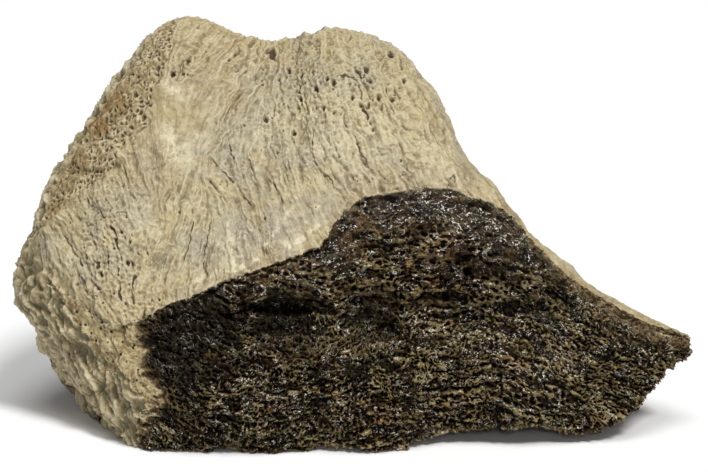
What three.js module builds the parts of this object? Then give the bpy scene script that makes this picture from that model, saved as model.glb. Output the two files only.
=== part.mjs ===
// A fossil vertebra: one broken piece of a large centrum, the drum-shaped body of the bone.
// Millimetres, +Z up, +X to the right, -Y towards the broken front. The piece stands on its broken underside.
//
// The body is a loft of sections round the bone, from the knobbly end plate on the left to the tip of the wing on
// the right. Five corners run the length of it:
//   foot      front edge of the underside
//   lip       edge of the smooth outer bone, above the spongy front break
//   crest     top of the piece, and on the left the rim of the end plate
//   brink     edge where the outer bone, or the end plate, ends at the back
//   heel      rear edge of the underside
import * as THREE from "three";
import { ImprovedNoise } from "three/addons/math/ImprovedNoise.js";

// ---- Driving dimensions, in millimetres ----

// Where each corner passes, station by station. The first station is the end plate's rim.
const CORNERS = ["foot", "lip", "crest", "brink", "heel"];
const STATIONS = [
  [[-47, 6, 0], [-53, 11, 26], [-76, 27, 32], [-77, 36, 25], [-67, 47, 0]],
  [[-44, 5, 0], [-50.5, 10, 27], [-73, 30, 42], [-74, 43, 33], [-66, 52, 0]],
  [[-41, 5, 0], [-46.5, 9, 28], [-67, 34, 55], [-70, 52, 45], [-64, 57, 0]],
  [[-37, 5, 0], [-43, 10, 30], [-60.5, 39, 67.5], [-63, 60, 47], [-60, 61, 0]],
  [[-33, 4, 0], [-36.5, 11, 32.5], [-52.5, 44, 78], [-54, 65, 58], [-54, 65, 0]],
  [[-27, 4, 0], [-30.5, 12, 34], [-45, 48, 90], [-44, 70, 61], [-47, 68, 0]],
  [[-20, 4, 0], [-24.5, 13, 37], [-36, 49, 91], [-34, 73, 66], [-38, 71, 0]],
  [[-11.5, 5, 0], [-17, 14, 39.5], [-26, 50, 88.5], [-24, 76, 55], [-29, 72, 0]],
  [[-4.5, 5, 1], [-8.5, 16, 42.5], [-18, 51, 87], [-15, 77, 52], [-19, 73, 0]],
  [[3, 4, 0], [-4, 19, 47.5], [-8, 51, 87], [-4, 75, 63], [-8, 72, 1]],
  [[11, 6, 0], [3, 23, 52.5], [5.5, 49, 85], [8, 73, 60], [4, 70, 2]],
  [[17, 9, 2], [14.5, 25, 54.5], [15, 46, 76.5], [18, 70, 46], [15, 68, 1]],
  [[30, 9, 4], [26, 27, 52], [21.5, 42, 61.5], [27, 65, 42], [26, 66, 2]],
  [[43, 9, 4], [34.5, 28, 47.5], [33, 40, 48.5], [37, 60, 30], [37, 60, 4]],
  [[49, 10, 2], [46, 27, 35.5], [44, 34, 38], [47, 54, 25], [46, 54, 7]],
  [[60.5, 12, 5.5], [58, 26, 27.5], [57, 30, 28.5], [58, 46, 20], [57, 46, 10]],
  [[69, 17, 14], [68, 25, 22], [67.5, 27, 23.5], [68, 37, 18], [67, 36, 13]],
  [[75, 22, 18], [75, 23, 19.2], [75, 24, 19.6], [74.5, 27, 18.6], [74.5, 26.5, 17.2]],
];

// How far each side bows out between its corners, as a share of its width.
const FRONT_BOW = 0.1;
const FACE_BOW = 0.06;
const SHOULDER_BOW = 0.16;
const BACK_BOW = 0.06;
const PLATE_BULGE = 3; // how far the end plate domes out of its rim
const PLATE_END = { from: -50, to: -42 }; // behind the crest, the end plate gives way to outer bone here

// Broad swells (push above 0) and hollows (below 0), each centred on x, z and about reachX, reachZ across.
const FRONT_FORMS = [
  { x: 2, z: 12, reachX: 85, reachZ: 17, push: 4.5 }, // belly of the lower half
  { x: 6, z: 28, reachX: 62, reachZ: 8, push: -4.5 }, // long hollow over the belly
  { x: -14, z: 30, reachX: 17, reachZ: 6, push: -2 }, // its deep left end
  { x: 7.5, z: 25, reachX: 5, reachZ: 7, push: -3 }, // pocket in the hollow's floor
  { x: 20, z: 28, reachX: 6, reachZ: 5, push: -3 },
  { x: 36, z: 28, reachX: 6, reachZ: 5, push: -2.5 },
  { x: 17, z: 39.5, reachX: 8, reachZ: 8, push: -3.5 }, // cavity with coarse struts, under the brow
  { x: -4, z: 40, reachX: 18, reachZ: 9, push: 2.5 }, // brow, left of the cavity
  { x: 30, z: 40, reachX: 16, reachZ: 9, push: 2 }, // brow, right of it
  { x: -41, z: 22, reachX: 12, reachZ: 10, push: -1.5 }, // dip beside the end plate's rim
];
const CORTEX_FORMS = [
  { x: 5, z: 68, reachX: 34, reachZ: 30, push: 3.5 }, // swell on the right
  { x: -52, z: 50, reachX: 14, reachZ: 50, push: 1.5 }, // fold along the left sheet
  { x: -63, z: 60, reachX: 9, reachZ: 30, push: -1.5 }, // worn band below the left crest
  { x: 31, z: 53, reachX: 6, reachZ: 7, push: 1.5 }, // small lump on the right flank
];
const BACK_FORMS = [
  { x: -12, z: 30, reachX: 40, reachZ: 26, push: -5 },
  { x: 32, z: 22, reachX: 18, reachZ: 18, push: 3 },
  { x: -50, z: 24, reachX: 16, reachZ: 20, push: 2.5 },
];
// A valley runs down the outer bone from the notch in the crest, and drifts left as it falls.
const VALLEY = { x: -19, top: 86, drift: 0.16, reach: 15, push: -4.5, fadesFrom: 66, fadesTo: 36 };

// Grain of each surface: `size` is the width of its lumps and `height` how far they stand out.
const LEDGES = { size: 6, stretch: 2.4, height: 1.8 };
const SPONGE_LUMPS = { size: 10, stretch: 1.5, height: 1.8 };
const PITS = { size: 6.5, stretch: 1.5, height: -2.4, opensAt: 0.15, fullAt: 0.55 };
const FURROWS = { size: 5, length: 30, lean: 0.45, height: 0.6 };
const CORTEX_LUMPS = { size: 12, stretch: 1, height: 1.1 };
const BACK_LUMPS = { size: 13, stretch: 1.3, height: 4 };
const BACK_GRAIN = { size: 6, stretch: 1.8, height: 2.2 };
const BASE_LUMPS = { size: 16, stretch: 1.2, height: 3.2 };
const BASE_PRESS = 1.6; // how far the underside is pressed down before it is ground flat
const PLATE_KNOBS = { size: 6, height: 2.6, level: 0.55 };
const PLATE_LUMPS = { size: 16, stretch: 1, height: 1.4 };

const COLUMNS = 66; // sections between the end plate and the wing's tip
const PLATE_RINGS = 8; // rings that fill the end plate
const CORNER_ROOM = 0.35; // share of the relief that is left on a corner
// The bone is worn round for so many columns from the end plate's rim, and so many rows from the crest.
const WEAR = { columns: 2, rows: 4, passes: 5, pull: 0.5 };
const FORWARD_SHARE = 0.7; // how far the front's relief is turned from its normal towards the front
const BONE_COLOUR = 0xb5a27a;
const BONE_ROUGHNESS = 0.75;

const noise = new ImprovedNoise();
// Large numbers that share no factor with the grid, so that neighbouring cells get unlike seeds.
const SCRAMBLE = [
  new THREE.Vector3(127.1, 311.7, 74.7),
  new THREE.Vector3(269.5, 183.3, 246.1),
  new THREE.Vector3(113.5, 271.9, 124.6),
];

// ---- Relief: how far each kind of surface stands out, in millimetres ----

// A smooth hill of height 1 at `centre`, gone at a distance of about `reach`.
function hill(value, centre, reach) {
  return Math.exp(-2 * ((value - centre) / reach) ** 2);
}

function forms(list, p) {
  return list.reduce((sum, form) => {
    return sum + form.push * hill(p.x, form.x, form.reachX) * hill(p.z, form.z, form.reachZ);
  }, 0);
}

// Smooth lumps about `size` across, stretched along X.
function lumps({ size, stretch, height }, p) {
  return height * noise.noise(p.x / (size * stretch), p.y / size, p.z / size);
}

function pits({ size, stretch, height, opensAt, fullAt }, p) {
  // Read half a lattice away from the lumps, so that the two don't line up.
  const field = noise.noise(p.x / (size * stretch) + 0.5, p.y / size + 0.5, p.z / size + 0.5);
  return height * THREE.MathUtils.smoothstep(field, opensAt, fullAt);
}

// The seed of one cell in a 3-D grid: a fixed pseudo-random point inside it.
function seedOf(cell) {
  const jitter = SCRAMBLE.map((row) => (1 + Math.sin(cell.dot(row))) / 2);
  return cell.clone().add(new THREE.Vector3(...jitter));
}

// Distance from `p` to the nearest seed of a jittered grid, as a share of the grid's size.
function seedDistance(p, size) {
  const scaled = p.clone().divideScalar(size);
  const home = scaled.clone().floor();
  const cell = new THREE.Vector3();
  let nearest = Infinity;
  for (let i = -1; i <= 1; i += 1) {
    for (let j = -1; j <= 1; j += 1) {
      for (let k = -1; k <= 1; k += 1) {
        cell.set(i, j, k).add(home);
        nearest = Math.min(nearest, seedOf(cell).distanceTo(scaled));
      }
    }
  }
  return nearest;
}

// Spongy bone, snapped across: ledges along the grain and open pits.
function frontRelief(p) {
  return forms(FRONT_FORMS, p) + lumps(LEDGES, p) + lumps(SPONGE_LUMPS, p) + pits(PITS, p);
}

// Outer bone: smooth, with a valley and shallow furrows.
function cortexRelief(p) {
  const down = VALLEY.top - p.z;
  const fade = THREE.MathUtils.smoothstep(p.z, VALLEY.fadesTo, VALLEY.fadesFrom);
  const valley = VALLEY.push * fade * hill(p.x, VALLEY.x - VALLEY.drift * down, VALLEY.reach);
  const across = (p.x + FURROWS.lean * p.z) / FURROWS.size;
  const furrows = FURROWS.height * noise.noise(across, p.y / FURROWS.length, p.z / FURROWS.length);
  return forms(CORTEX_FORMS, p) + valley + furrows + lumps(CORTEX_LUMPS, p);
}

// The end plate's knobs, each a rounded lump that overlaps the next.
function plateRelief(p) {
  return PLATE_KNOBS.height * (PLATE_KNOBS.level - seedDistance(p, PLATE_KNOBS.size)) + lumps(PLATE_LUMPS, p);
}

function shoulderRelief(p) {
  const share = THREE.MathUtils.smoothstep(p.x, PLATE_END.from, PLATE_END.to);
  return THREE.MathUtils.lerp(plateRelief(p), cortexRelief(p), share);
}

// Spongy bone behind, weathered flatter than the front.
function backRelief(p) {
  return forms(BACK_FORMS, p) + lumps(BACK_LUMPS, p) + lumps(BACK_GRAIN, p);
}

function baseRelief(p) {
  return BASE_PRESS + lumps(BASE_LUMPS, p);
}

// ---- The loft ----

const FORWARD = new THREE.Vector3(0, -1, 0);

// The sides of a section in order, with the rows of points on each one.
// A side with `forward` pushes its relief towards the front, so that deep hollows don't fold.
const SIDES = [
  { from: "foot", to: "lip", bow: FRONT_BOW, rows: 18, relief: frontRelief, forward: true },
  { from: "lip", to: "crest", bow: FACE_BOW, rows: 17, relief: cortexRelief },
  { from: "crest", to: "brink", bow: SHOULDER_BOW, rows: 9, relief: shoulderRelief },
  { from: "brink", to: "heel", bow: BACK_BOW, rows: 11, relief: backRelief },
  { from: "heel", to: "foot", bow: 0, rows: 9, relief: baseRelief },
];

// The curve that one corner follows through all the stations.
function railOf(which) {
  const points = STATIONS.map((station) => new THREE.Vector3(...station[which]));
  return new THREE.CatmullRomCurve3(points, false, "centripetal");
}

// The curve of one side, bowed away from the section's middle.
function sideCurve(start, end, bow, middle) {
  const half = start.clone().lerp(end, 0.5);
  const out = half.clone().sub(middle).normalize();
  // A quadratic curve passes half as far out as its control point.
  half.addScaledVector(out, 2 * bow * start.distanceTo(end));
  return new THREE.QuadraticBezierCurve3(start, half, end);
}

// Rows between a point on a side and the crest, or a large number on the sides that don't touch it.
function rowsFromCrest(side, row) {
  if (side.from === "crest") {
    return row;
  }
  return side.to === "crest" ? side.rows - row : Infinity;
}

// The closed section at `along`, 0 at the end plate and 1 at the wing's tip.
function sectionAt(rails, along) {
  const at = {};
  const middle = new THREE.Vector3();
  CORNERS.forEach((corner, which) => {
    at[corner] = rails[which].getPoint(along);
    middle.addScaledVector(at[corner], 1 / CORNERS.length);
  });
  const section = [];
  for (const side of SIDES) {
    const curve = sideCurve(at[side.from], at[side.to], side.bow, middle);
    for (let row = 0; row < side.rows; row += 1) {
      const share = row / side.rows;
      const room = CORNER_ROOM + (1 - CORNER_ROOM) * Math.sin(Math.PI * share);
      const worn = rowsFromCrest(side, row) < WEAR.rows;
      section.push({ at: curve.getPoint(share), side, room, worn });
    }
  }
  return section;
}

// Rings of the end plate: the first section's outline, shrunk towards a middle that domes out.
function plateRings(outline) {
  const middle = new THREE.Vector3();
  for (const point of outline) {
    middle.addScaledVector(point.at, 1 / outline.length);
  }
  const first = outline[0].at.clone().sub(middle);
  const third = outline[Math.round(outline.length / 3)].at.clone().sub(middle);
  const out = first.cross(third).normalize();
  const side = { relief: plateRelief };
  const rings = [];
  for (let ring = PLATE_RINGS - 1; ring > 0; ring -= 1) {
    const share = ring / PLATE_RINGS;
    const dome = PLATE_BULGE * (1 - (1 - share) ** 2);
    rings.push(
      outline.map((point) => {
        return { at: point.at.clone().lerp(middle, share).addScaledVector(out, dome), side, room: 1 };
      }),
    );
  }
  return { rings, middle: { at: middle.addScaledVector(out, PLATE_BULGE), side, room: 1 } };
}

// Two triangles between each pair of neighbours in two rings of vertices.
function bridge(index, first, second, count) {
  for (let i = 0; i < count; i += 1) {
    const next = (i + 1) % count;
    index.push(first + i, second + i, second + next);
    index.push(first + i, second + next, first + next);
  }
}

function loftedBody() {
  const rails = CORNERS.map((corner, which) => railOf(which));
  const sections = [];
  for (let column = 0; column <= COLUMNS; column += 1) {
    sections.push(sectionAt(rails, column / COLUMNS));
  }
  const plate = plateRings(sections[0]);
  const tip = { ...sections[COLUMNS][0], at: new THREE.Vector3(), room: 0 };
  for (const point of sections[COLUMNS]) {
    tip.at.addScaledVector(point.at, 1 / sections[COLUMNS].length);
  }
  const layers = [...plate.rings, ...sections];
  const around = sections[0].length;
  const points = [plate.middle, ...layers.flat(), tip];
  const index = [];
  const firstOf = (layer) => 1 + layer * around;
  const last = firstOf(layers.length - 1);
  for (let i = 0; i < around; i += 1) {
    const next = (i + 1) % around;
    index.push(0, firstOf(0) + i, firstOf(0) + next);
    index.push(points.length - 1, last + next, last + i);
  }
  for (let layer = 0; layer + 1 < layers.length; layer += 1) {
    bridge(index, firstOf(layer), firstOf(layer + 1), around);
  }
  const rim = firstOf(plate.rings.length);
  const wornTo = rim + WEAR.columns * around;
  for (const point of points.slice(rim - around, wornTo)) {
    point.worn = true;
  }
  return { points, index };
}

function geometryOf(points, index) {
  const geometry = new THREE.BufferGeometry().setFromPoints(points.map((point) => point.at));
  geometry.setIndex(index);
  geometry.computeVertexNormals();
  return geometry;
}

// Pulls each worn point towards the middle of its neighbours.
function wear({ points, index }) {
  const sums = points.map(() => ({ total: new THREE.Vector3(), count: 0 }));
  for (let corner = 0; corner < index.length; corner += 1) {
    const next = corner % 3 === 2 ? corner - 2 : corner + 1;
    const sum = sums[index[corner]];
    sum.total.add(points[index[next]].at);
    sum.count += 1;
  }
  points.forEach((point, i) => {
    if (point.worn) {
      point.at.lerp(sums[i].total.divideScalar(sums[i].count), WEAR.pull);
    }
  });
}

// Pushes each point out by its side's relief, and grinds the underside flat at Z = 0.
function raiseRelief({ points, index }) {
  const normals = geometryOf(points, index).getAttribute("normal");
  const out = new THREE.Vector3();
  points.forEach((point, i) => {
    out.fromBufferAttribute(normals, i);
    if (point.side.forward) {
      out.lerp(FORWARD, FORWARD_SHARE).normalize();
    }
    point.at.addScaledVector(out, point.room * point.side.relief(point.at));
    point.at.z = Math.max(point.at.z, 0);
  });
}

// ---- The part ----

function vertebra() {
  const body = loftedBody();
  for (let pass = 0; pass < WEAR.passes; pass += 1) {
    wear(body);
  }
  raiseRelief(body);
  const geometry = geometryOf(body.points, body.index);
  const bone = new THREE.MeshStandardMaterial({ color: BONE_COLOUR, roughness: BONE_ROUGHNESS });
  const mesh = new THREE.Mesh(geometry, bone);
  mesh.name = "vertebra";
  // The part's origin is the middle of its footprint box, on the surface it stands on.
  geometry.computeBoundingBox();
  const box = geometry.boundingBox;
  mesh.position.set(-(box.min.x + box.max.x) / 2, -(box.min.y + box.max.y) / 2, -box.min.z);
  return mesh;
}

const part = new THREE.Group();
part.add(vertebra());

export default part;
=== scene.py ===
import math

import bpy
import numpy as np
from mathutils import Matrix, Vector


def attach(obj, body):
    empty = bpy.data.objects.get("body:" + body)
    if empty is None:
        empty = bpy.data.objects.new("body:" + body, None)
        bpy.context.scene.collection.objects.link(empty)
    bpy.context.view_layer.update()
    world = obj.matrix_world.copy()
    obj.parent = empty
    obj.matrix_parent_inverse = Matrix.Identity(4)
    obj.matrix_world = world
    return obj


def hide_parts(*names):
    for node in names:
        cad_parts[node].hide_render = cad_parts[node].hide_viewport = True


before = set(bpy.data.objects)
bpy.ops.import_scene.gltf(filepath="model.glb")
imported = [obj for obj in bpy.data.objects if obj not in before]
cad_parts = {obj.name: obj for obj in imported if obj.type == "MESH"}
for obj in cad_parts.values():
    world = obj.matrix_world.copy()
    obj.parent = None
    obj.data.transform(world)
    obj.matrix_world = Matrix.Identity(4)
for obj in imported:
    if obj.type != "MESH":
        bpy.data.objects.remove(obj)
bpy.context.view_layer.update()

bl_info = {
    "name": "Fossil Vertebra",
    "version": (1, 0, 0),
    "blender": (4, 5, 0),
    "location": "3D View > Sidebar > Fossil",
    "description": "Dresses a broken fossil vertebra: outer bone, spongy breaks and knobby end plate",
    "category": "Object",
}

MM = 0.001
# Rounds of edge splitting that turn the node's large triangles into fine ones.
REFINE_ROUNDS = 9
# Readings of the noise on each side of a point, along the fibres.
COMB_STEPS = 7
# Height at which the front break is parted into two meshes, so that neither has too many triangles.
FRONT_SEAM = 25.0
# The same for the outer bone's face: how far right its two meshes meet.
FACE_SEAM = -14.0
# Added to the normals of the front break, (x, y, z): its relief leans forward, which undercuts it.
BREAK_LEAN = (0, -0.6, 0.1)
# Stands for a border that is too far off to matter, in millimetres.
FAR = 50.0

# ---- Landmarks on the bone, in millimetres: (x, z) as seen from the front unless it says otherwise ----

# Edge of the outer bone above the front break, from the end plate's rim to the wing's tip.
LIP = [
    (-90, 40), (-75.5, 30.4), (-67, 33.4), (-60.4, 30.3), (-55.1, 27.8), (-51.9, 26), (-45.6, 28),
    (-42, 29.9), (-32.8, 33.4), (-23.9, 37), (-16.4, 39.5), (-6.6, 42.8), (-4, 46.6), (-1.2, 50.1),
    (3.2, 52.4), (10.9, 53.6), (15.3, 54.5), (22, 53.6), (28.8, 51.1), (33.3, 49.1), (36.3, 47.1),
    (40.6, 41.9), (47, 35.5), (56, 29.2), (65, 23.9), (73.8, 20.7), (90, 14),
]
# Where the dark break starts, right of the pale pitted rim of the end plate.
DARK_EDGE = [
    (-52, 60), (-47, 28.2), (-46, 22.5), (-45.2, 18.1), (-43, 15.3), (-41.2, 13.3), (-43, 9.9), (-46.8, 3.6),
    (-49, -6),
]
# Lower edge of the strip of compact bone under the lip of the wing.
STRIP_EDGE = [
    (30, 60), (37, 45.5), (42.4, 38.7), (46.8, 32.8), (53.5, 27.4), (60.3, 23.1), (66.7, 20.2), (73.4, 18.3),
    (90, 14),
]
# Inner edge of the worn, porous band along the left crest.
RIM_EDGE = [
    (-90, 30), (-70, 43), (-64.9, 47.4), (-59.1, 53.2), (-53, 58), (-50.2, 64), (-46.3, 67.1), (-44.9, 72.3),
    (-42.8, 77.7), (-38, 100),
]
# The rest of the outer bone's edge, behind the crest: (x, z) seen from the back.
BRINK = [
    (-90, 25), (-76, 25), (-73, 33), (-69, 45), (-62, 47), (-53, 58), (-43, 61), (-33, 66), (-23, 55),
    (-14, 52), (-3, 63), (9, 60), (19, 46), (28, 42), (38, 30), (48, 25), (59, 20), (69, 18), (90, 15),
]
# Crest line from above: (x, y).
CREST = [
    (-90, -14), (-75, -11.5), (-66, -4.5), (-60, 0.5), (-52, 5.5), (-44, 9.5), (-25, 11.5), (-17, 12.5),
    (-7, 12.5), (6, 10.5), (16, 7.5), (22, 3.5), (34, 1.5), (45, -4.5), (58, -8.5), (68, -11.5), (90, -15),
]
# Corners of the end plate's rim: (x, y, z).
PLATE_RIM = [(-46.2, -32.5, 0), (-52.2, -27.5, 26), (-75.2, -11.5, 32), (-76.2, -2.5, 25), (-66.2, 8.5, 0)]
# Way along which the end plate's knobs run: (x, y, z).
KNOB_RUN = (18.4, 0, -16.1)
# How far right the end plate goes behind the crest and at its foot, and how high that foot is.
PLATE_END = -46.0
FOOT_TOP = 12.0
# Up to this height the front break reaches left as far as its dark edge.
BESIDE_TOP = 22.0
# Where the wing starts. Right of, behind and above the second place, (x, y, z), it is all outer bone.
WING_START = 30.0
WING_FLANK = (45, -9.3, 28.5)
# Height of the shadowed recess that runs across the front break.
RECESS = 29.5
# Patch of fine dark speckles above the lip: (x, z, half width, half height).
SPECKLES = (6, 57, 9, 2.4)
# Run of the fibres in the outer bone: (x, z, lean). Lean is how far a fibre moves left as it rises by one.
FIBRES = [
    (-64.7, 44.4, 1.0), (-69.3, 37.7, 0.35), (-71.4, 32.4, 0.3), (-60.5, 34.8, 0.7), (-54.4, 29.6, 0.8),
    (-55.2, 51.8, 0.9), (-59.5, 57, 0.9), (-50.3, 46.2, 0.45), (-48.9, 36.1, 0.1), (-43.5, 38.1, -0.15),
    (-39.3, 42, -0.25), (-35.2, 52.3, -0.4), (-32.8, 44.1, -0.2), (-38, 33.1, -0.2), (-44.8, 68.2, 0.3),
    (-41.8, 80.8, -0.3), (-31.9, 83.7, -1.0), (-25.1, 76.1, -1.0), (-19.6, 80, -0.6), (-30.1, 64.1, -0.6),
    (-26.9, 68.1, -0.5), (-23.5, 61.8, -0.1), (-21.1, 53.9, 0.4), (-25.4, 52, 0.6), (-28.8, 55, 0.8),
    (-17.5, 44.2, 0.3), (-26.3, 44.2, 0.1), (-15.5, 54.1, 0.5), (-11.2, 62.3, 0.25), (-13.6, 72, 0.1),
    (-16.2, 80, -0.1), (-4.5, 56.4, 0.9), (-4.5, 68.7, 0.3), (-6.9, 78.5, 0.15), (-0.1, 82.6, 0.3),
    (4.3, 62.5, 0.5), (8.8, 72.6, 0.5), (10.9, 56.1, 0.6), (17.7, 62, 0.55), (22.1, 55.6, 0.6),
    (26.6, 53.3, 0.7), (6.7, 80.5, 0.5), (15.8, 75.7, 0.6), (35, 46, 1.0), (50, 33, 1.6), (65, 25, 1.8),
]
# Open canals in the outer bone: (x, z, radius).
CANALS = [
    (-18, 81, 0.9), (-14, 78, 0.45), (-11.2, 77.2, 0.45), (-8, 74.9, 0.5), (-5.3, 76.8, 0.35),
    (-3.7, 76.1, 0.6), (3.5, 78.9, 0.7), (6.3, 73.1, 0.5), (9.5, 72.8, 0.55), (9.2, 81.3, 0.7),
    (-58, 40.1, 0.45), (-48.4, 39.5, 0.45), (-54.4, 36.7, 0.4), (-48, 43.8, 0.4), (-39.9, 78, 0.5),
    (-46.5, 68.8, 0.6), (-11.5, 72.5, 0.35), (-6, 71, 0.4), (0.4, 73.4, 0.4), (12, 76, 0.35),
    (-19, 68, 0.4), (4.4, 76.4, 0.4), (-36.5, 80.6, 0.5), (-12.8, 65.6, 0.35),
]
# Open cracks along the edges of flakes in the outer bone, as lines of (x, z).
CRACKS = [
    [(-30.5, 60), (-28.5, 57.9), (-25.5, 55.3), (-22.1, 51.3)],
    [(-31, 55.7), (-29.6, 54.2), (-28.5, 52.4)],
    [(-22.6, 59.4), (-21.2, 56.8)],
    [(-17.8, 55.9), (-16, 54.2), (-14.8, 52.1)],
    [(-6.9, 58.5), (-5, 57.2), (-3.2, 55.1)],
    [(21.4, 53.6), (21.6, 55.6), (22.8, 56.4), (23.2, 54.3), (22.5, 53.3)],
    [(-3.2, 77.2), (-0.8, 77.7), (1.2, 76.7), (2.3, 74.7), (2.6, 73.1)],
    [(3.1, 78), (3.5, 75.4), (4.8, 72.6)],
    [(-27, 64.5), (-26.6, 61.5), (-25.4, 58.5)],
    [(-34.4, 47.8), (-35.2, 43.5), (-36.6, 39)],
    [(-30.3, 48.6), (-31.4, 43.2), (-32, 38.5)],
    [(-8.2, 66.3), (-8.4, 62), (-7.4, 58.8)],
    [(0.5, 66.5), (2.2, 62.4), (4.6, 58.4)],
]
# Pale mineral veins, as lines of (x, z).
VEINS = [
    [(-26.8, 47.1), (-25.8, 42.6), (-25.1, 38.2)],
    [(-33.5, 36.1), (-29.5, 37.4), (-24, 38.6), (-20, 40.5)],
    [(-7.3, 50.5), (-7.1, 47.2), (-10.2, 44.6), (-14, 43)],
    [(-18.5, 43.5), (-14.5, 48.5), (-11.5, 53)],
]
# Hollows torn out of the front break: (x, z, half width, half height, depth).
HOLLOWS = [
    (-15.4, 29.7, 10, 2.2, 2.4), (-34, 27.5, 10, 2.6, 1.2), (24.6, 39.4, 2.4, 1.6, 2.2),
    (25.8, 36.8, 1.2, 2.0, 1.8), (20.9, 31.2, 6, 1.3, 1.8), (8.2, 24.6, 3.4, 1.6, 1.6),
    (37, 28.5, 6, 1.8, 1.4), (43, 27.2, 2.6, 2.2, 2.2), (-25.5, 28.3, 5, 1.5, 1.6), (-41.5, 24, 4, 3, 0.8),
    (3, 31, 5, 1.2, 1.2), (12.5, 41.2, 4.5, 0.9, 0.9), (29.5, 40.2, 5, 0.7, 0.9),
    (42.5, 36.4, 2.5, 0.6, 0.8), (-27, 8.5, 4, 1.2, 1.0), (6, 12, 2.2, 2.6, 1.2), (-22, 14, 3, 1.6, 0.8),
]
# Clefts across the front break, cut in and painted dark as shade, as lines of (x, z).
CLEFTS = [
    [(27, 50.4), (30, 49.6), (33, 47.8), (37, 45.2)],
    [(29, 39.2), (33, 38.2), (37, 37.2), (43.2, 34.8)],
    [(3.5, 43), (8.6, 42.9), (14.5, 43.2)],
    [(-27, 28.4), (-20, 29.6), (-11, 28.6), (-4, 30.2)],
    [(44, 31), (50, 27.5), (57, 23.6), (66, 20)],
    [(-5, 21), (4, 20.4), (12, 21.2)],
    [(14, 13.5), (24, 13), (33, 14.6)],
]
# Soft round spots of colour in the dense bone: (x, z, radius, strength).
PALE_SPOTS = [
    (0, 64, 11, 0.5), (-16, 66, 9, 0.4), (16, 60, 8, 0.4), (-39.9, 74.2, 3, 0.8), (-38.2, 63, 4, 0.8),
    (-33, 64.5, 3, 0.5), (-41, 66.3, 2.5, 0.7), (-31, 69, 3, 0.4), (2, 67, 7, 0.3), (-6, 71, 6, 0.4),
    (-56, 44, 5, 0.3), (-26, 42, 4, 0.5), (0, 69.5, 4, 0.6), (-63, 40, 5, 0.3),
]
TAN_SPOTS = [
    (-12, 47, 7, 0.7), (-30, 76, 10, 0.85), (-46, 58, 10, 0.8), (-38, 66, 9, 0.5), (-43, 74.5, 7, 0.7),
    (-34, 75, 7, 0.6), (-20, 47, 8, 0.5), (-52, 52, 7, 0.5), (-8.9, 50.9, 5, 0.7), (4, 55, 9, 0.7),
    (-30, 84, 8, 0.6), (-22, 76, 9, 0.45), (14, 57, 6, 0.4), (58, 30, 14, 0.8), (44, 40, 8, 0.5),
    (-45, 48, 7, 0.35), (9, 84, 8, 0.4), (-72, 33, 5, 0.6), (-50, 34, 5, 0.3), (22, 66, 8, 0.3),
    (-14, 80, 9, 0.35),
]
RUST_SPOTS = [
    (-53.1, 70.8, 4.5, 1.0), (-57.5, 66, 4, 1.0), (-62, 58.5, 3.5, 0.7), (-65, 54, 3, 0.8),
    (-49.9, 76.1, 3, 0.5), (-67, 49, 3, 0.8), (-55, 58, 3, 0.4),
]
# Green-grey stains; those at the left end are painted shade, where that end turns away from the light.
OLIVE_SPOTS = [
    (-42.1, 39.7, 2, 0.8), (-72, 38, 6, 1.0), (-71.5, 33, 5, 1.0), (-69, 30, 4, 1.0), (-66, 26.5, 4, 0.7),
    (-68, 44, 3, 0.4), (-56, 18, 6, 0.4), (-46, 6, 6, 0.6), (-64, 39, 2.5, 0.4),
]
# Cool grey places in the outer bone.
COOL_SPOTS = [
    (-15, 46.5, 7, 0.9), (-8, 50, 5, 0.7), (-22, 45, 5, 0.6), (-47, 50, 6, 0.7), (-50, 40, 6, 0.5),
    (-45, 60, 5, 0.4), (24, 56, 5, 0.4),
]
# Spots thick with small pits.
PIT_SPOTS = [
    (-56, 43, 6, 0.9), (-58, 51, 4, 0.8), (-50, 41, 6, 0.9), (-43, 34, 4, 0.5), (-8, 74, 13, 0.8),
    (4, 76, 12, 0.9), (-52, 38, 10, 1.0), (-53, 48, 9, 0.9), (-47, 45, 7, 0.7), (-46, 30, 7, 0.8),
    (-20, 79, 7, 0.4), (-37, 80, 6, 0.6), (-14, 64, 9, 0.35),
]
# Spots worn smooth.
CALM_SPOTS = [
    (-40, 71, 10, 0.9), (-35, 63, 6, 0.7), (-12, 47, 7, 0.7), (20, 57, 6, 0.5), (26, 60, 8, 0.6),
    (-33, 77, 7, 0.5), (-5, 52, 5, 0.6), (-29, 47, 4, 0.4),
]
# On the front break: painted dark, partly as shade along the recess and in the hollows; amber; with round
# pores; and smooth and shiny.
GLOOM_SPOTS = [
    (-38, 22, 16, 1.0), (-30, 27, 12, 1.0), (-14, 29, 12, 1.0), (4, 29.5, 10, 0.8), (24, 39, 6, 0.7),
    (33, 38.5, 6, 0.7), (18, 39, 3, 0.8), (-36, 12, 9, 0.6), (44, 32, 8, 0.5),
]
AMBER_SPOTS = [
    (22.9, 41.4, 5, 0.9), (19, 36, 4.5, 1.0), (26, 34, 5, 0.7), (14, 44, 6, 0.5), (-14, 41, 6, 0.5),
    (-22, 35, 5, 0.5), (-15, 22, 4, 0.5), (36, 22, 6, 0.5), (8, 8, 6, 0.5), (-40, 13, 4, 0.7),
    (2, 45, 5, 0.3),
]
OPEN_SPOTS = [
    (27, 32, 9, 1.0), (10, 34, 8, 0.9), (38, 12, 9, 0.9), (46, 11, 5, 1.0), (22, 28, 8, 0.8),
    (30, 20, 8, 0.6),
]
SHINY_SPOTS = [
    (10.9, 48.9, 8, 0.9), (17.5, 49.7, 8, 0.8), (26, 48, 7, 0.7), (28.6, 46.2, 6, 1.0), (34, 45, 5, 0.7),
    (48, 24, 9, 0.6),
]


# ---- Settings ----


def size_setting(name, description, millimetres):
    return bpy.props.FloatProperty(
        name=name, description=description, default=millimetres * MM, unit="LENGTH", precision=5
    )


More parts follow.
